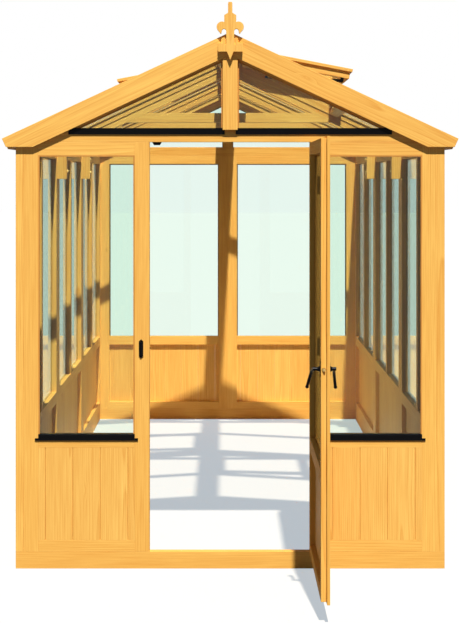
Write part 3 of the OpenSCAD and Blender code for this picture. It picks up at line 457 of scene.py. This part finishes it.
def coated_metal(name, color, rough, metallic=0.0, specular=0.5):
    """Metal under a powder coat or plating, with a fine orange-peel texture and slight wear."""
    mat, tree, bsdf = new_material(name)
    where = node(tree, "ShaderNodeTexCoord").outputs["Object"]
    peel = noise(tree, where, 2.0, scale=900.0).outputs["Fac"]
    wear = noise(tree, where, 3.0, scale=40.0).outputs["Fac"]
    worn = tuple(min(1, c * 1.6) for c in color[:3]) + (1,)
    tree.links.new(mix_color(tree, wear, color, worn), bsdf.inputs["Base Color"])
    bsdf.inputs["Metallic"].default_value = metallic
    bsdf.inputs["Specular IOR Level"].default_value = specular
    shine = map_range(tree, wear, target=(rough - 0.06, rough + 0.08))
    tree.links.new(shine, bsdf.inputs["Roughness"])
    add_bump(tree, bsdf, peel, 0.15, 0.0002)
    return mat


HONEY = srgb(255, 203, 104)
AMBER = srgb(226, 154, 62)
timber = wood("timber", HONEY, AMBER, 0.03)
knotty = wood("knotty_timber", HONEY, AMBER, 0.22, specular=0.08)
boarding_wood = wood("boards", srgb(255, 205, 108), srgb(226, 156, 66), 0.02)
# The beads' tones are darker than the frames' as painted shade, for the recess by the glass where they stand
shaded_bead_wood = wood("beads", srgb(226, 160, 76), srgb(186, 116, 44), 0.0)
pane = glass()
black = coated_metal("black_metal", (0.002, 0.002, 0.0025, 1), 0.30, specular=0.12)
yellow_zinc = coated_metal("yellow_zinc", (0.62, 0.40, 0.13, 1), 0.5, metallic=0.4)


# Places of the panels, as in the construction. A panel has its own X along it and its own Y inwards

def in_front(x0):
    return move(x0, FRONT_Y, 0)


def in_back(x1):
    return move(x1, BACK_Y, 0) @ turn(180, "Z")


def in_left(i):
    return move(-HOUSE_W / 2, FRONT_Y + (i + 1) * BAY_LEN, 0) @ turn(-90, "Z")


def in_right(i):
    return move(HOUSE_W / 2, FRONT_Y + i * BAY_LEN, 0) @ turn(90, "Z")


def on_slope(side):
    """X runs down the slope from the ridge and Z stands square on the roof."""
    mirror = Matrix.Diagonal((side, 1, 1, 1))
    return mirror @ move(0, 0, ROOF_APEX) @ Matrix.Rotation(PITCH, 4, "Y")


def pane_width(w, n):
    return (w - 2 * STILE_W - (n - 1) * MULLION_W) / n


def pane_left(w, n, i):
    return STILE_W + i * (pane_width(w, n) + MULLION_W)


# Walls

def wall_frame(name, place, w, n, under_roof):
    """Frame of a wall panel: stiles, three rails and mullions. Side panels are bevelled to the roof.

    The left door post has a bore that takes the latch bolt.
    """
    j = Joinery(name + "_wood", place)
    outer_top = EAVES_H - (SLOPE * FRAME_T if under_roof else 0)
    stile = [(0, BASE_H), (FRAME_T, BASE_H), (FRAME_T, EAVES_H), (0, outer_top)]
    bore = (LATCH_Y, HANDLE_Z, STRIKE_R, STRIKE_DEPTH) if name == "front_panel_left" else None
    j.along_x(stile, 0, STILE_W, grain=(0, 1, 0))
    j.along_x(stile, w - STILE_W, STILE_W, grain=(0, 1, 0), bore=bore)
    inside = w - 2 * STILE_W
    j.block((STILE_W, 0, BASE_H), (w - STILE_W, FRAME_T, BASE_H + BOTTOM_RAIL_H), "x")
    j.along_x([(0, WINDOW_TOP), (FRAME_T, WINDOW_TOP), (FRAME_T, EAVES_H), (0, outer_top)], STILE_W, inside)
    step = WINDOW_Z - TONGUE_H
    stepped = [(0, MID_RAIL_Z), (FRAME_T, MID_RAIL_Z), (FRAME_T, WINDOW_Z), (GLASS_IN, WINDOW_Z),
               (GLASS_IN, step), (0, step)]
    j.along_x(stepped, STILE_W, inside)
    for i in range(1, n):
        x = pane_left(w, n, i) - MULLION_W
        j.block((x, 0, WINDOW_Z), (x + MULLION_W, FRAME_T, WINDOW_TOP), "z")
        j.block((x, 0, step), (x + MULLION_W, GLASS_IN, WINDOW_Z), "x")
    j.finish(timber, "house", "timber", name)


def board_profile(x0, x1, first, last):
    """Outline of one matchboard seen from above, with its outer face on y = 0."""
    v0 = 0 if first else BOARD_V
    v1 = 0 if last else BOARD_V
    out = [(x0 + v0, 0), (x1 - v1, 0)]
    if v1:
        out.append((x1, v1))
    out += [(x1, BOARD_T), (x0, BOARD_T)]
    if v0:
        out.append((x0, v0))
    return out


def boarding(j, place, w):
    """Matchboards filling a width evenly from the middle, with a cut board at each end."""
    h = MID_RAIL_Z - BASE_H - BOTTOM_RAIL_H
    full = math.floor((w - 2 * BOARD_END_MIN) / BOARD_COVER)
    first = (w - full * BOARD_COVER) / 2
    for i in range(full + 2):
        x0 = 0 if i == 0 else first + (i - 1) * BOARD_COVER + BOARD_GAP
        x1 = w if i == full + 1 else first + i * BOARD_COVER
        profile = board_profile(x0, x1, i == 0, i == full + 1)
        j.prism(profile, h, ident(), (0, 0, 1), arris=BOARD_ARRIS, place=place)


def bead_set(j, place, w, h, bottom):
    """Glazing beads round a window, at the bottom too where no sill takes their place."""
    z0 = BEAD_W if bottom else 0
    for x in (0, w - BEAD_W):
        j.block((x, 0, z0), (x + BEAD_W, GLASS_IN, h - BEAD_W), "z", place, FINE_ARRIS)
    j.block((0, 0, h - BEAD_W), (w, GLASS_IN, h), "x", place, FINE_ARRIS)
    if bottom:
        j.block((0, 0, 0), (w, GLASS_IN, BEAD_W), "x", place, FINE_ARRIS)


def wall_sill(j, place, w):
    """Black sill: a tongue under the glass and a lip below it that runs past the window."""
    tongue = [(GLASS_IN, 0), (0, 0), (-SILL_PROUD, -SILL_FALL), (-SILL_PROUD, -TONGUE_H),
              (GLASS_IN, -TONGUE_H)]
    j.along_x(tongue, 0, w, FINE_ARRIS, place)
    j.block((-SILL_LIP_END, -SILL_PROUD, -SILL_H), (w + SILL_LIP_END, 0, -TONGUE_H), "x", place, FINE_ARRIS)


front_w = INNER_X - DOOR_W / 2
back_w = INNER_X
walls = [
    ("front_panel_left", in_front(-INNER_X), front_w, 1, "front_boards"),
    ("front_panel_right", in_front(DOOR_W / 2), front_w, 1, "front_boards"),
    ("back_panel_left", in_back(0), back_w, 1, "back_boards"),
    ("back_panel_right", in_back(INNER_X), back_w, 1, "back_boards"),
]
for i in range(BAYS):
    walls.append((f"left_panel_{i + 1}", in_left(i), BAY_LEN, 2, "left_boards"))
    walls.append((f"right_panel_{i + 1}", in_right(i), BAY_LEN, 2, "right_boards"))

beads = Joinery("glazing_beads_wood")
sills = Joinery("black_sills_metal")
boards = {}
for name, place, w, n, group in walls:
    wall_frame(name, place, w, n, group in ("left_boards", "right_boards"))
    if group not in boards:
        boards[group] = Joinery(group + "_wood")
    boarding(boards[group], place @ move(STILE_W, 0, BASE_H + BOTTOM_RAIL_H), w - 2 * STILE_W)
    for i in range(n):
        at = place @ move(pane_left(w, n, i), 0, WINDOW_Z)
        bead_set(beads, at, pane_width(w, n), WINDOW_TOP - WINDOW_Z, False)
        wall_sill(sills, at, pane_width(w, n))
for group, j in boards.items():
    j.finish(boarding_wood, "house", "boards", group)


def ground_rails():
    """Front threshold, and the base rails on the other three sides."""
    j = Joinery("front_threshold_wood")
    j.block((-HOUSE_W / 2, FRONT_Y, 0), (HOUSE_W / 2, FRONT_Y + FRAME_T, BASE_H), "x")
    j.finish(timber, "house", "timber", "front_threshold")
    j = Joinery("base_rails_wood")
    j.block((-HOUSE_W / 2, BACK_Y - FRAME_T, 0), (HOUSE_W / 2, BACK_Y, BASE_H), "x")
    for x in (-HOUSE_W / 2, INNER_X):
        j.block((x, FRONT_Y + FRAME_T, 0), (x + FRAME_T, BACK_Y - FRAME_T, BASE_H), "y")
    j.finish(timber, "house", "timber", "base_rails")


ground_rails()


# Gables

def gable(name, y0):
    """Bottom rail, two sloping rails and king post."""
    j = Joinery(name + "_wood")
    rail_x = plane_x(UNDER_APEX, GABLE_RAIL_TOP)
    in_x = plane_x(GABLE_IN_APEX, GABLE_RAIL_TOP)
    rail = [(-INNER_X, EAVES_H), (INNER_X, EAVES_H), (rail_x, GABLE_RAIL_TOP), (-rail_x, GABLE_RAIL_TOP)]
    sloping = [(0, GABLE_IN_APEX), (in_x, GABLE_RAIL_TOP), (rail_x, GABLE_RAIL_TOP), (0, UNDER_APEX)]
    j.upright(rail, y0, FRAME_T, (1, 0))
    for mirror in both_sides():
        j.upright(sloping, y0, FRAME_T, (1, -SLOPE), place=mirror)
    k = KING_W / 2
    shoulder = GABLE_IN_APEX - SLOPE * k
    king = [(-k, GABLE_RAIL_TOP), (k, GABLE_RAIL_TOP), (k, shoulder), (0, GABLE_IN_APEX), (-k, shoulder)]
    j.upright(king, y0, FRAME_T, (0, 1))
    j.finish(timber, "house", "timber", name)


def gable_beads(y0):
    """Beads round the two gable windows, mitred to the slope."""
    x0 = KING_W / 2
    x1 = plane_x(GABLE_IN_APEX, GABLE_RAIL_TOP)
    top = GABLE_IN_APEX - SLOPE * x0
    drop = BEAD_W / math.cos(PITCH)
    foot_x = x1 - BEAD_W / math.sin(PITCH)
    by_king = [(x0, GABLE_RAIL_TOP), (x0 + BEAD_W, GABLE_RAIL_TOP),
               (x0 + BEAD_W, top - SLOPE * BEAD_W - drop), (x0, top - drop)]
    sloping = [(x0, top - drop), (foot_x, GABLE_RAIL_TOP), (x1, GABLE_RAIL_TOP), (x0, top)]
    for mirror in both_sides():
        beads.upright(by_king, y0, GLASS_IN, (0, 1), FINE_ARRIS, mirror)
        beads.upright(sloping, y0, GLASS_IN, (1, -SLOPE), FINE_ARRIS, mirror)


def gable_sills(y0):
    """Black sills under the gable windows, cut along the barge boards' lower edge."""
    z0 = GABLE_RAIL_TOP - SILL_H
    z1 = GABLE_RAIL_TOP - GABLE_LIP_END
    x0 = KING_W / 2 - GABLE_LIP_END
    x1 = GABLE_SILL_END
    end_top = min(GABLE_RAIL_TOP, BARGE_LOW_APEX - SLOPE * x1)
    outline = [(x0, z0), (x1, z0), (x1, end_top), (plane_x(BARGE_LOW_APEX, GABLE_RAIL_TOP), GABLE_RAIL_TOP),
               (KING_W / 2, GABLE_RAIL_TOP), (KING_W / 2, z1), (x0, z1)]
    for mirror in both_sides():
        sills.upright(outline, y0, SILL_PROUD, (1, 0), FINE_ARRIS, mirror)


gable("front_gable", FRONT_Y)
gable("back_gable", BACK_Y - FRAME_T)
gable_beads(FRONT_Y)
gable_beads(BACK_Y - GLASS_IN)
gable_sills(FRONT_Y - SILL_PROUD)
gable_sills(BACK_Y)


def barge_boards(name, y0):
    """Two boards with a square cut tip and a level cut under the tail, and a facing on the king post."""
    j = Joinery(name + "_wood")
    tip_z = BARGE_APEX - SLOPE * TIP_X
    tail_x = TIP_X - SLOPE * (tip_z - BARGE_TAIL_Z)
    m = BOARD_GAP / 2
    board = [(m, BARGE_LOW_APEX - SLOPE * m), (plane_x(BARGE_LOW_APEX, BARGE_TAIL_Z), BARGE_TAIL_Z),
             (tail_x, BARGE_TAIL_Z), (TIP_X, tip_z), (m, BARGE_APEX - SLOPE * m)]
    for mirror in both_sides():
        j.upright(board, y0, BARGE_T, (1, -SLOPE), place=mirror)
    x = KING_W / 2 - BOARD_GAP
    z0 = GABLE_RAIL_TOP - GABLE_LIP_END + BOARD_GAP
    z1 = BARGE_LOW_APEX - BOARD_GAP / math.cos(PITCH)
    facing = [(-x, z0), (x, z0), (x, z1 - SLOPE * x), (0, z1), (-x, z1 - SLOPE * x)]
    j.upright(facing, y0, BARGE_T, (0, 1))
    j.finish(timber, "house", "timber", name)


barge_boards("front_barge_boards", FRONT_Y - BARGE_T)
barge_boards("back_barge_boards", BACK_Y)


def arc(x, z, r, a0, a1, steps=14):
    out = []
    for i in range(steps + 1):
        a = math.radians(a0 + (a1 - a0) * i / steps)
        out.append((x + r * math.cos(a), z + r * math.sin(a)))
    return out


def finial():
    """Fleur-de-lis plate: pointed tail, crosspiece with two ears, neck, two curls, shoulders and spike."""
    rise, cross_drop = 0.129, 0.087
    top = BARGE_APEX + rise
    cross = BARGE_APEX - cross_drop
    cross_x, cross_h = 0.054, 0.037
    cross_top = cross + cross_h
    tail_x, tail_h = 0.014, 0.036
    ear_x, ear_w, ear_h = 0.027, 0.006, 0.016
    slit_x, slit_depth = 0.020, 0.008
    hook_w, hook_h = 0.005, 0.030
    neck_x, notch_r, notch_drop = 0.0175, 0.0095, 0.126
    curl_x, curl_r, curl_drop, curl_start = 0.036, 0.023, 0.108, -50
    curl_z = top - curl_drop
    shoulder_x, shoulder_drop = 0.026, 0.057
    curl_end = 180 - math.degrees(math.acos((curl_x - shoulder_x) / curl_r))
    spike_x, spike_foot_drop = 0.0095, 0.047
    spike_tip_x, spike_tip_h = 0.0075, 0.008
    half = [(0, cross - tail_h), (tail_x, cross), (cross_x, cross), (cross_x, cross_top),
            (ear_x + ear_w, cross_top), (ear_x, cross_top + ear_h), (slit_x + hook_w, cross_top + slit_depth),
            (slit_x + hook_w, cross_top - slit_depth), (slit_x, cross_top - slit_depth), (neck_x, cross_top)]
    half += arc(neck_x + notch_r, top - notch_drop, notch_r, 180, 0)
    half += [(curl_x + hook_w / 2, curl_z - hook_h + hook_w / 2), (curl_x + hook_w, curl_z - hook_h)]
    half += arc(curl_x, curl_z, curl_r, curl_start, curl_end)
    half += [(shoulder_x, top - shoulder_drop), (spike_x, top - spike_foot_drop),
             (spike_x, top - spike_tip_h), (spike_tip_x, top)]
    outline = half + [(-x, z) for x, z in half[:0:-1]]
    j = Joinery("finial_wood")
    j.upright(outline, FRONT_Y - BARGE_T - FINIAL_T, FINIAL_T, (0, 1), FINIAL_ARRIS)
    j.finish(timber, "house", "timber", "finial")


finial()


# Trusses and ridge

def truss(name, i):
    """Two legs on the side walls, two sloping members and a collar tie."""
    j = Joinery(name + "_wood")
    y0 = FRONT_Y + i * BAY_LEN - STILE_W + TRUSS_BACK
    leg_x = INNER_X - LEG_W
    leg_top = UNDER_APEX - SLOPE * leg_x
    leg = [(leg_x, LEG_Z), (INNER_X, LEG_Z), (INNER_X, EAVES_H), (leg_x, leg_top)]
    r = RIDGE_T / 2
    sloping = [(r, TRUSS_IN_APEX - SLOPE * r), (leg_x, TRUSS_IN_APEX - SLOPE * leg_x), (leg_x, leg_top),
               (r, UNDER_APEX - SLOPE * r)]
    for mirror in both_sides():
        j.upright(leg, y0, TRUSS_T, (0, 1), place=mirror)
        j.upright(sloping, y0, TRUSS_T, (1, -SLOPE), place=mirror)
    tie_z = TIE_TOP_Z - TIE_H
    x0 = plane_x(TRUSS_IN_APEX, tie_z)
    x1 = plane_x(TRUSS_IN_APEX, TIE_TOP_Z)
    j.upright([(-x0, tie_z), (x0, tie_z), (x1, TIE_TOP_Z), (-x1, TIE_TOP_Z)], y0, TRUSS_T, (1, 0))
    j.finish(timber, "house", "timber", name)


def ridge_board():
    j = Joinery("ridge_board_wood")
    r = RIDGE_T / 2
    low = UNDER_APEX - RIDGE_DROP
    j.block((-r, FRONT_Y, UNDER_APEX), (r, BACK_Y, ROOF_APEX - SLOPE * r), "y")
    j.block((-r, FRONT_Y + FRAME_T, low), (r, BACK_Y - FRAME_T, UNDER_APEX), "y")
    j.finish(timber, "house", "timber", "ridge_board")


def ridge_capping():
    """Two boards that meet over the ridge and lie on the slopes."""
    j = Joinery("ridge_capping_wood")
    m = BOARD_GAP / 2
    run, fall = math.cos(PITCH), math.sin(PITCH)
    edge = [(CAP_W * run + t * fall, ROOF_APEX - CAP_W * fall + t * run) for t in (0, CAP_T)]
    outline = [(m, ROOF_APEX - SLOPE * m), *edge, (m, ROOF_APEX + CAP_T / run - SLOPE * m)]
    for mirror in both_sides():
        j.along_y(outline, FRONT_Y, BACK_Y - FRONT_Y, place=mirror)
    j.finish(timber, "house", "timber", "ridge_capping")


truss("front_truss", 1)
truss("back_truss", 2)
ridge_board()
ridge_capping()


# Roof

def roof_pane_y(i, k):
    """Front edge of a pane: the first or second one of a roof panel."""
    return FRONT_Y + i * BAY_LEN + STILE_W + k * (PANE_W + MULLION_W)


def vent_place(side):
    """Roof panel and pane that hold the vent of a slope."""
    return (1, 0) if side < 0 else (0, 1)


def roof_panel(name, side, i):
    """Two stiles, top and bottom rails, a mullion, and a trimmer and curb where a vent sits."""
    place = on_slope(side)
    j = Joinery(name + "_wood")
    y0 = FRONT_Y + i * BAY_LEN + STILE_W
    y1 = y0 + BAY_LEN - 2 * STILE_W
    s_top = RIDGE_T / 2 / math.cos(PITCH)
    s_low = s_top + FRAME_T * SLOPE
    s_rail = ROOF_LEN - ROOF_RAIL_W
    stile = [(s_low, -FRAME_T), (ROOF_LEN, -FRAME_T), (ROOF_LEN, 0), (s_top, 0)]
    top_rail = [(s_low, -FRAME_T), (ROOF_RAIL_W, -FRAME_T), (ROOF_RAIL_W, 0), (s_top, 0)]
    for y in (y0 - STILE_W, y1):
        j.along_y(stile, y, STILE_W, (1, 0, 0), place)
    j.along_y(top_rail, y0, y1 - y0, place=place)
    j.block((s_rail, y0, -FRAME_T), (ROOF_LEN, y1, 0), "y", place)
    mullion_y = roof_pane_y(i, 1)
    j.block((ROOF_RAIL_W, mullion_y - MULLION_W, -FRAME_T), (s_rail, mullion_y, 0), "x", place)
    if i == vent_place(side)[0]:
        y = roof_pane_y(*vent_place(side))
        j.block((VENT_BOTTOM, y, -FRAME_T), (VENT_BOTTOM + FOOT_TRIMMER_W, y + PANE_W, 0), "y", place)
        for edge in (y - CURB_W, y + PANE_W):
            j.block((CAP_W + BOARD_GAP, edge, 0), (VENT_BOTTOM + CURB_W, edge + CURB_W, CAP_T), "x", place)
        j.block((VENT_BOTTOM, y, 0), (VENT_BOTTOM + CURB_W, y + PANE_W, CAP_T), "y", place)
    j.finish(timber, "house", "timber", name)


def roof_beads(side, i, k):
    """Beads along both sides and the top of a roof pane, which is short below a vent."""
    s0 = VENT_BOTTOM + FOOT_TRIMMER_W if vent_place(side) == (i, k) else ROOF_RAIL_W
    length = ROOF_LEN - ROOF_RAIL_W - s0
    place = on_slope(side) @ move(s0, roof_pane_y(i, k), -GLASS_IN)
    for y in (0, PANE_W - BEAD_W):
        beads.block((0, y, 0), (length, y + BEAD_W, GLASS_IN), "x", place, FINE_ARRIS)
    beads.block((0, BEAD_W, 0), (BEAD_W, PANE_W - BEAD_W, GLASS_IN), "y", place, FINE_ARRIS)


for side, label in SLOPES:
    for i in range(BAYS):
        roof_panel(f"{label}_roof_{i + 1}", side, i)
        for k in (0, 1):
            roof_beads(side, i, k)

beads.finish(shaded_bead_wood, "house", "beads", "glazing_beads")
sills.finish(black, "house", "black_metal", "black_sills")


# Door, drawn shut and turned to where it stands open

door_out_w = DOOR_W + 2 * DOOR_LAP
door_in_w = DOOR_W - 2 * DOOR_GAP
wall_door_y = FRONT_Y - EPS_GAP
door_y = wall_door_y - FACING_T
door_in_y = door_y + FRAME_T
glass_x = door_out_w / 2 - STILE_W
in_z = (BASE_H + DOOR_FOOT_GAP, EAVES_H - DOOR_GAP)
out_z = (in_z[0] - FACING_RUN, in_z[1] + FACING_RUN)
hinge_x = door_out_w / 2 + KNUCKLE_R + EPS_GAP
hinge_y = FRONT_Y - HINGE_LEAF_T - KNUCKLE_R + HINGE_LEAF_GAP
door_pose = turn_about(Vector((hinge_x, hinge_y, 0)), DOOR_OPEN, "Z")


def door_layer(name, node_name, y0, y1, half, zs):
    """One layer of the door: two stiles and three rails round the boards and the glass."""
    j = Joinery(name, door_pose)
    for x0, x1 in ((-half, -glass_x), (glass_x, half)):
        j.block((x0, y0, zs[0]), (x1, y1, zs[1]), "z")
    for z0, z1 in ((zs[0], BASE_H + BOTTOM_RAIL_H), (MID_RAIL_Z, WINDOW_Z), (WINDOW_TOP, zs[1])):
        j.block((-glass_x, y0, z0), (glass_x, y1, z1), "x")
    j.finish(knotty, "door", "timber", node_name)


door_layer("door_frame_wood", "door_frame", wall_door_y, door_in_y, door_in_w / 2, in_z)
door_layer("door_facing_wood", "door_facing", door_y, wall_door_y, door_out_w / 2, out_z)
j = Joinery("door_boards_wood")
boarding(j, door_pose @ move(-glass_x, door_y + FACING_T - BOARD_T, BASE_H + BOTTOM_RAIL_H), 2 * glass_x)
j.finish(boarding_wood, "door", "boards", "door_boards")
j = Joinery("door_beads_wood")
bead_set(j, door_pose @ move(-glass_x, door_y, WINDOW_Z), 2 * glass_x, WINDOW_TOP - WINDOW_Z, True)
j.finish(shaded_bead_wood, "door", "beads", "door_beads")


# Vents, drawn shut and turned to where they stand open

def ring(j, a, b, c, d, n0, n1):
    """Frame between an outer rectangle from a to b and an inner one from c to d."""
    j.block((a[0], a[1], n0), (b[0], c[1], n1), "x")
    j.block((a[0], d[1], n0), (b[0], b[1], n1), "x")
    j.block((a[0], c[1], n0), (c[0], d[1], n1), "y")
    j.block((d[0], c[1], n0), (b[0], d[1], n1), "y")


def vent_sash(side, label):
    """A facing that laps over the curb, and an inner frame that hangs in the opening."""
    pivot = Vector((VENT_PIVOT_S, 0, VENT_SEAT + VENT_KNUCKLE_R))
    j = Joinery(label + "_vent_sash_wood", on_slope(side) @ turn_about(pivot, -VENT_OPEN, "Y"))
    y0 = roof_pane_y(*vent_place(side))
    y1 = y0 + PANE_W
    c = (SASH_S + VENT_MEMBER_W, y0 - VENT_LAP + VENT_MEMBER_W)
    d = (VENT_BOTTOM + VENT_LAP - VENT_MEMBER_W, y1 + VENT_LAP - VENT_MEMBER_W)
    lap = ((SASH_S, y0 - VENT_LAP), (VENT_BOTTOM + VENT_LAP, y1 + VENT_LAP))
    hung = ((ROOF_RAIL_W + VENT_GAP, y0 + VENT_GAP), (VENT_BOTTOM - VENT_GAP, y1 - VENT_GAP))
    ring(j, *lap, c, d, VENT_SEAT, VENT_SEAT + VENT_FACING_T)
    ring(j, *hung, c, d, VENT_SEAT - VENT_INNER_T, VENT_SEAT)
    j.finish(timber, label + "_vent", "timber", label + "_vent_sash")


for side, label in SLOPES:
    vent_sash(side, label)


# Materials of the nodes that keep their own shape
for name, obj in nodes.items():
    if name.endswith("glass"):
        material = pane
    elif name in ("latch_case", "latch_bolt", "truss_bolts"):
        material = yellow_zinc
    else:
        material = black
    for slot_ in obj.material_slots:
        slot_.material = material


# Floor, light and camera

# Share of the surroundings that gloss doesn't mirror, and where the floor's painted fill light starts: behind
# the open door, so that the door keeps deeper shade
MIRROR_LOSS = 0.7
HIGH_FILL_Y = 0.7
FLOOR_R = 60.0
# The floor's colour for light is painted fill light: pale inside the house, to throw more light onto its
# shaded faces, and dark round it, to keep the shade outside deep. The eye sees both nearly white.
FLOOR_LOW_FILL = (0.10, 0.10, 0.10, 1)
FLOOR_HIGH_FILL = (0.60, 0.60, 0.58, 1)
SEEN_GROUND = (0.33, 0.30, 0.26, 1)
SEEN_GLOW = (0.44, 0.505, 0.56, 1)
SUN_ENERGY = 6.1
SUN_ANGLE = math.radians(1.0)
SUN_COLOR = (1.0, 0.98, 0.94)
SUN_WAY = (-0.052, 0.552, -1.0)
SKY_LIGHT = 0.12
SKY_COLOR = (0.86, 0.93, 1.0, 1)
WHITE = (1, 1, 1, 1)


def seen_ray(tree):
    """1 for rays that show the surroundings to the eye, straight or through glass.

    It is less for what gloss mirrors, and 0 for light that falls on things.
    """
    path = node(tree, "ShaderNodeLightPath")
    in_gloss = math_node(tree, "MAXIMUM", path.outputs["Is Glossy Ray"], path.outputs["Is Transmission Ray"])
    shown = math_node(tree, "MAXIMUM", path.outputs["Is Camera Ray"], in_gloss)
    before_diffuse = math_node(tree, "LESS_THAN", path.outputs["Diffuse Depth"], 0.5)
    shown = math_node(tree, "MULTIPLY", shown, before_diffuse)
    mirrored = math_node(tree, "GREATER_THAN", path.outputs["Glossy Depth"], 0.5)
    kept = math_node(tree, "SUBTRACT", 1.0, math_node(tree, "MULTIPLY", mirrored, MIRROR_LOSS))
    return math_node(tree, "MULTIPLY", shown, kept)


def floor():
    """Floor that the eye sees nearly white. For light it is painted fill light: paler inside the house than
    round it.
    """
    mesh = bpy.data.meshes.new("floor")
    r = FLOOR_R
    mesh.from_pydata([(-r, -r, 0), (r, -r, 0), (r, r, 0), (-r, r, 0)], [], [(0, 1, 2, 3)])
    obj = bpy.data.objects.new("floor", mesh)
    bpy.context.scene.collection.objects.link(obj)
    mat, tree, bsdf = new_material("floor")
    bsdf.inputs["Roughness"].default_value = 1.0
    bsdf.inputs["Specular IOR Level"].default_value = 0.0
    seen = seen_ray(tree)
    where = node(tree, "ShaderNodeTexCoord").outputs["Object"]
    from_middle = vector_math(tree, "SUBTRACT", where, (0, (HIGH_FILL_Y + BACK_Y) / 2, 0))
    apart = vector_math(tree, "ABSOLUTE", from_middle.outputs[0])
    apart = node(tree, "ShaderNodeSeparateXYZ", {0: apart.outputs[0]})
    within_x = math_node(tree, "LESS_THAN", apart.outputs[0], HOUSE_W / 2)
    within_y = math_node(tree, "LESS_THAN", apart.outputs[1], (BACK_Y - HIGH_FILL_Y) / 2)
    # painted fill light: the paler floor inside the house throws more light into its shade than the dark
    # floor round it
    fill_floor = mix_color(tree, math_node(tree, "MULTIPLY", within_x, within_y), FLOOR_LOW_FILL, FLOOR_HIGH_FILL)
    tree.links.new(mix_color(tree, seen, fill_floor, SEEN_GROUND), bsdf.inputs["Base Color"])
    bsdf.inputs["Emission Color"].default_value = SEEN_GLOW
    tree.links.new(seen, bsdf.inputs["Emission Strength"])
    mesh.materials.append(mat)


floor()

scene = bpy.context.scene
sun = bpy.data.lights.new("sun", "SUN")
sun.energy = SUN_ENERGY
sun.angle = SUN_ANGLE
sun.color = SUN_COLOR
sun_obj = bpy.data.objects.new("sun", sun)
sun_obj.rotation_euler = Vector(SUN_WAY).to_track_quat("-Z", "Y").to_euler()
scene.collection.objects.link(sun_obj)

# The world is white to the eye and a weak blue sky to the things
world = bpy.data.worlds.new("world")
scene.world = world
world.use_nodes = True
tree = world.node_tree
background = tree.nodes["Background"]
seen = seen_ray(tree)
tree.links.new(mix_color(tree, seen, SKY_COLOR, WHITE), background.inputs["Color"])
tree.links.new(map_range(tree, seen, target=(SKY_LIGHT, 1.0)), background.inputs["Strength"])

# The photograph's frame, and the pixel at which the camera looks
PHOTO_W, PHOTO_H = 459, 623
LOOK_X, LOOK_Y = 224.0, 178.0
FOCAL_PX = 1340.0
CAMERA_AT = (-0.027, -5.867, 1.705)
camera = bpy.data.cameras.new("camera")
camera.sensor_fit = "VERTICAL"
camera.sensor_height = 36.0
camera.lens = FOCAL_PX * camera.sensor_height / PHOTO_H
camera.shift_x = (PHOTO_W / 2 - LOOK_X) / PHOTO_H
camera.shift_y = (LOOK_Y - PHOTO_H / 2) / PHOTO_H
camera_obj = bpy.data.objects.new("camera", camera)
camera_obj.location = CAMERA_AT
camera_obj.rotation_euler = (math.radians(90), 0, 0)
scene.collection.objects.link(camera_obj)
scene.camera = camera_obj
scene.view_settings.view_transform = "Standard"
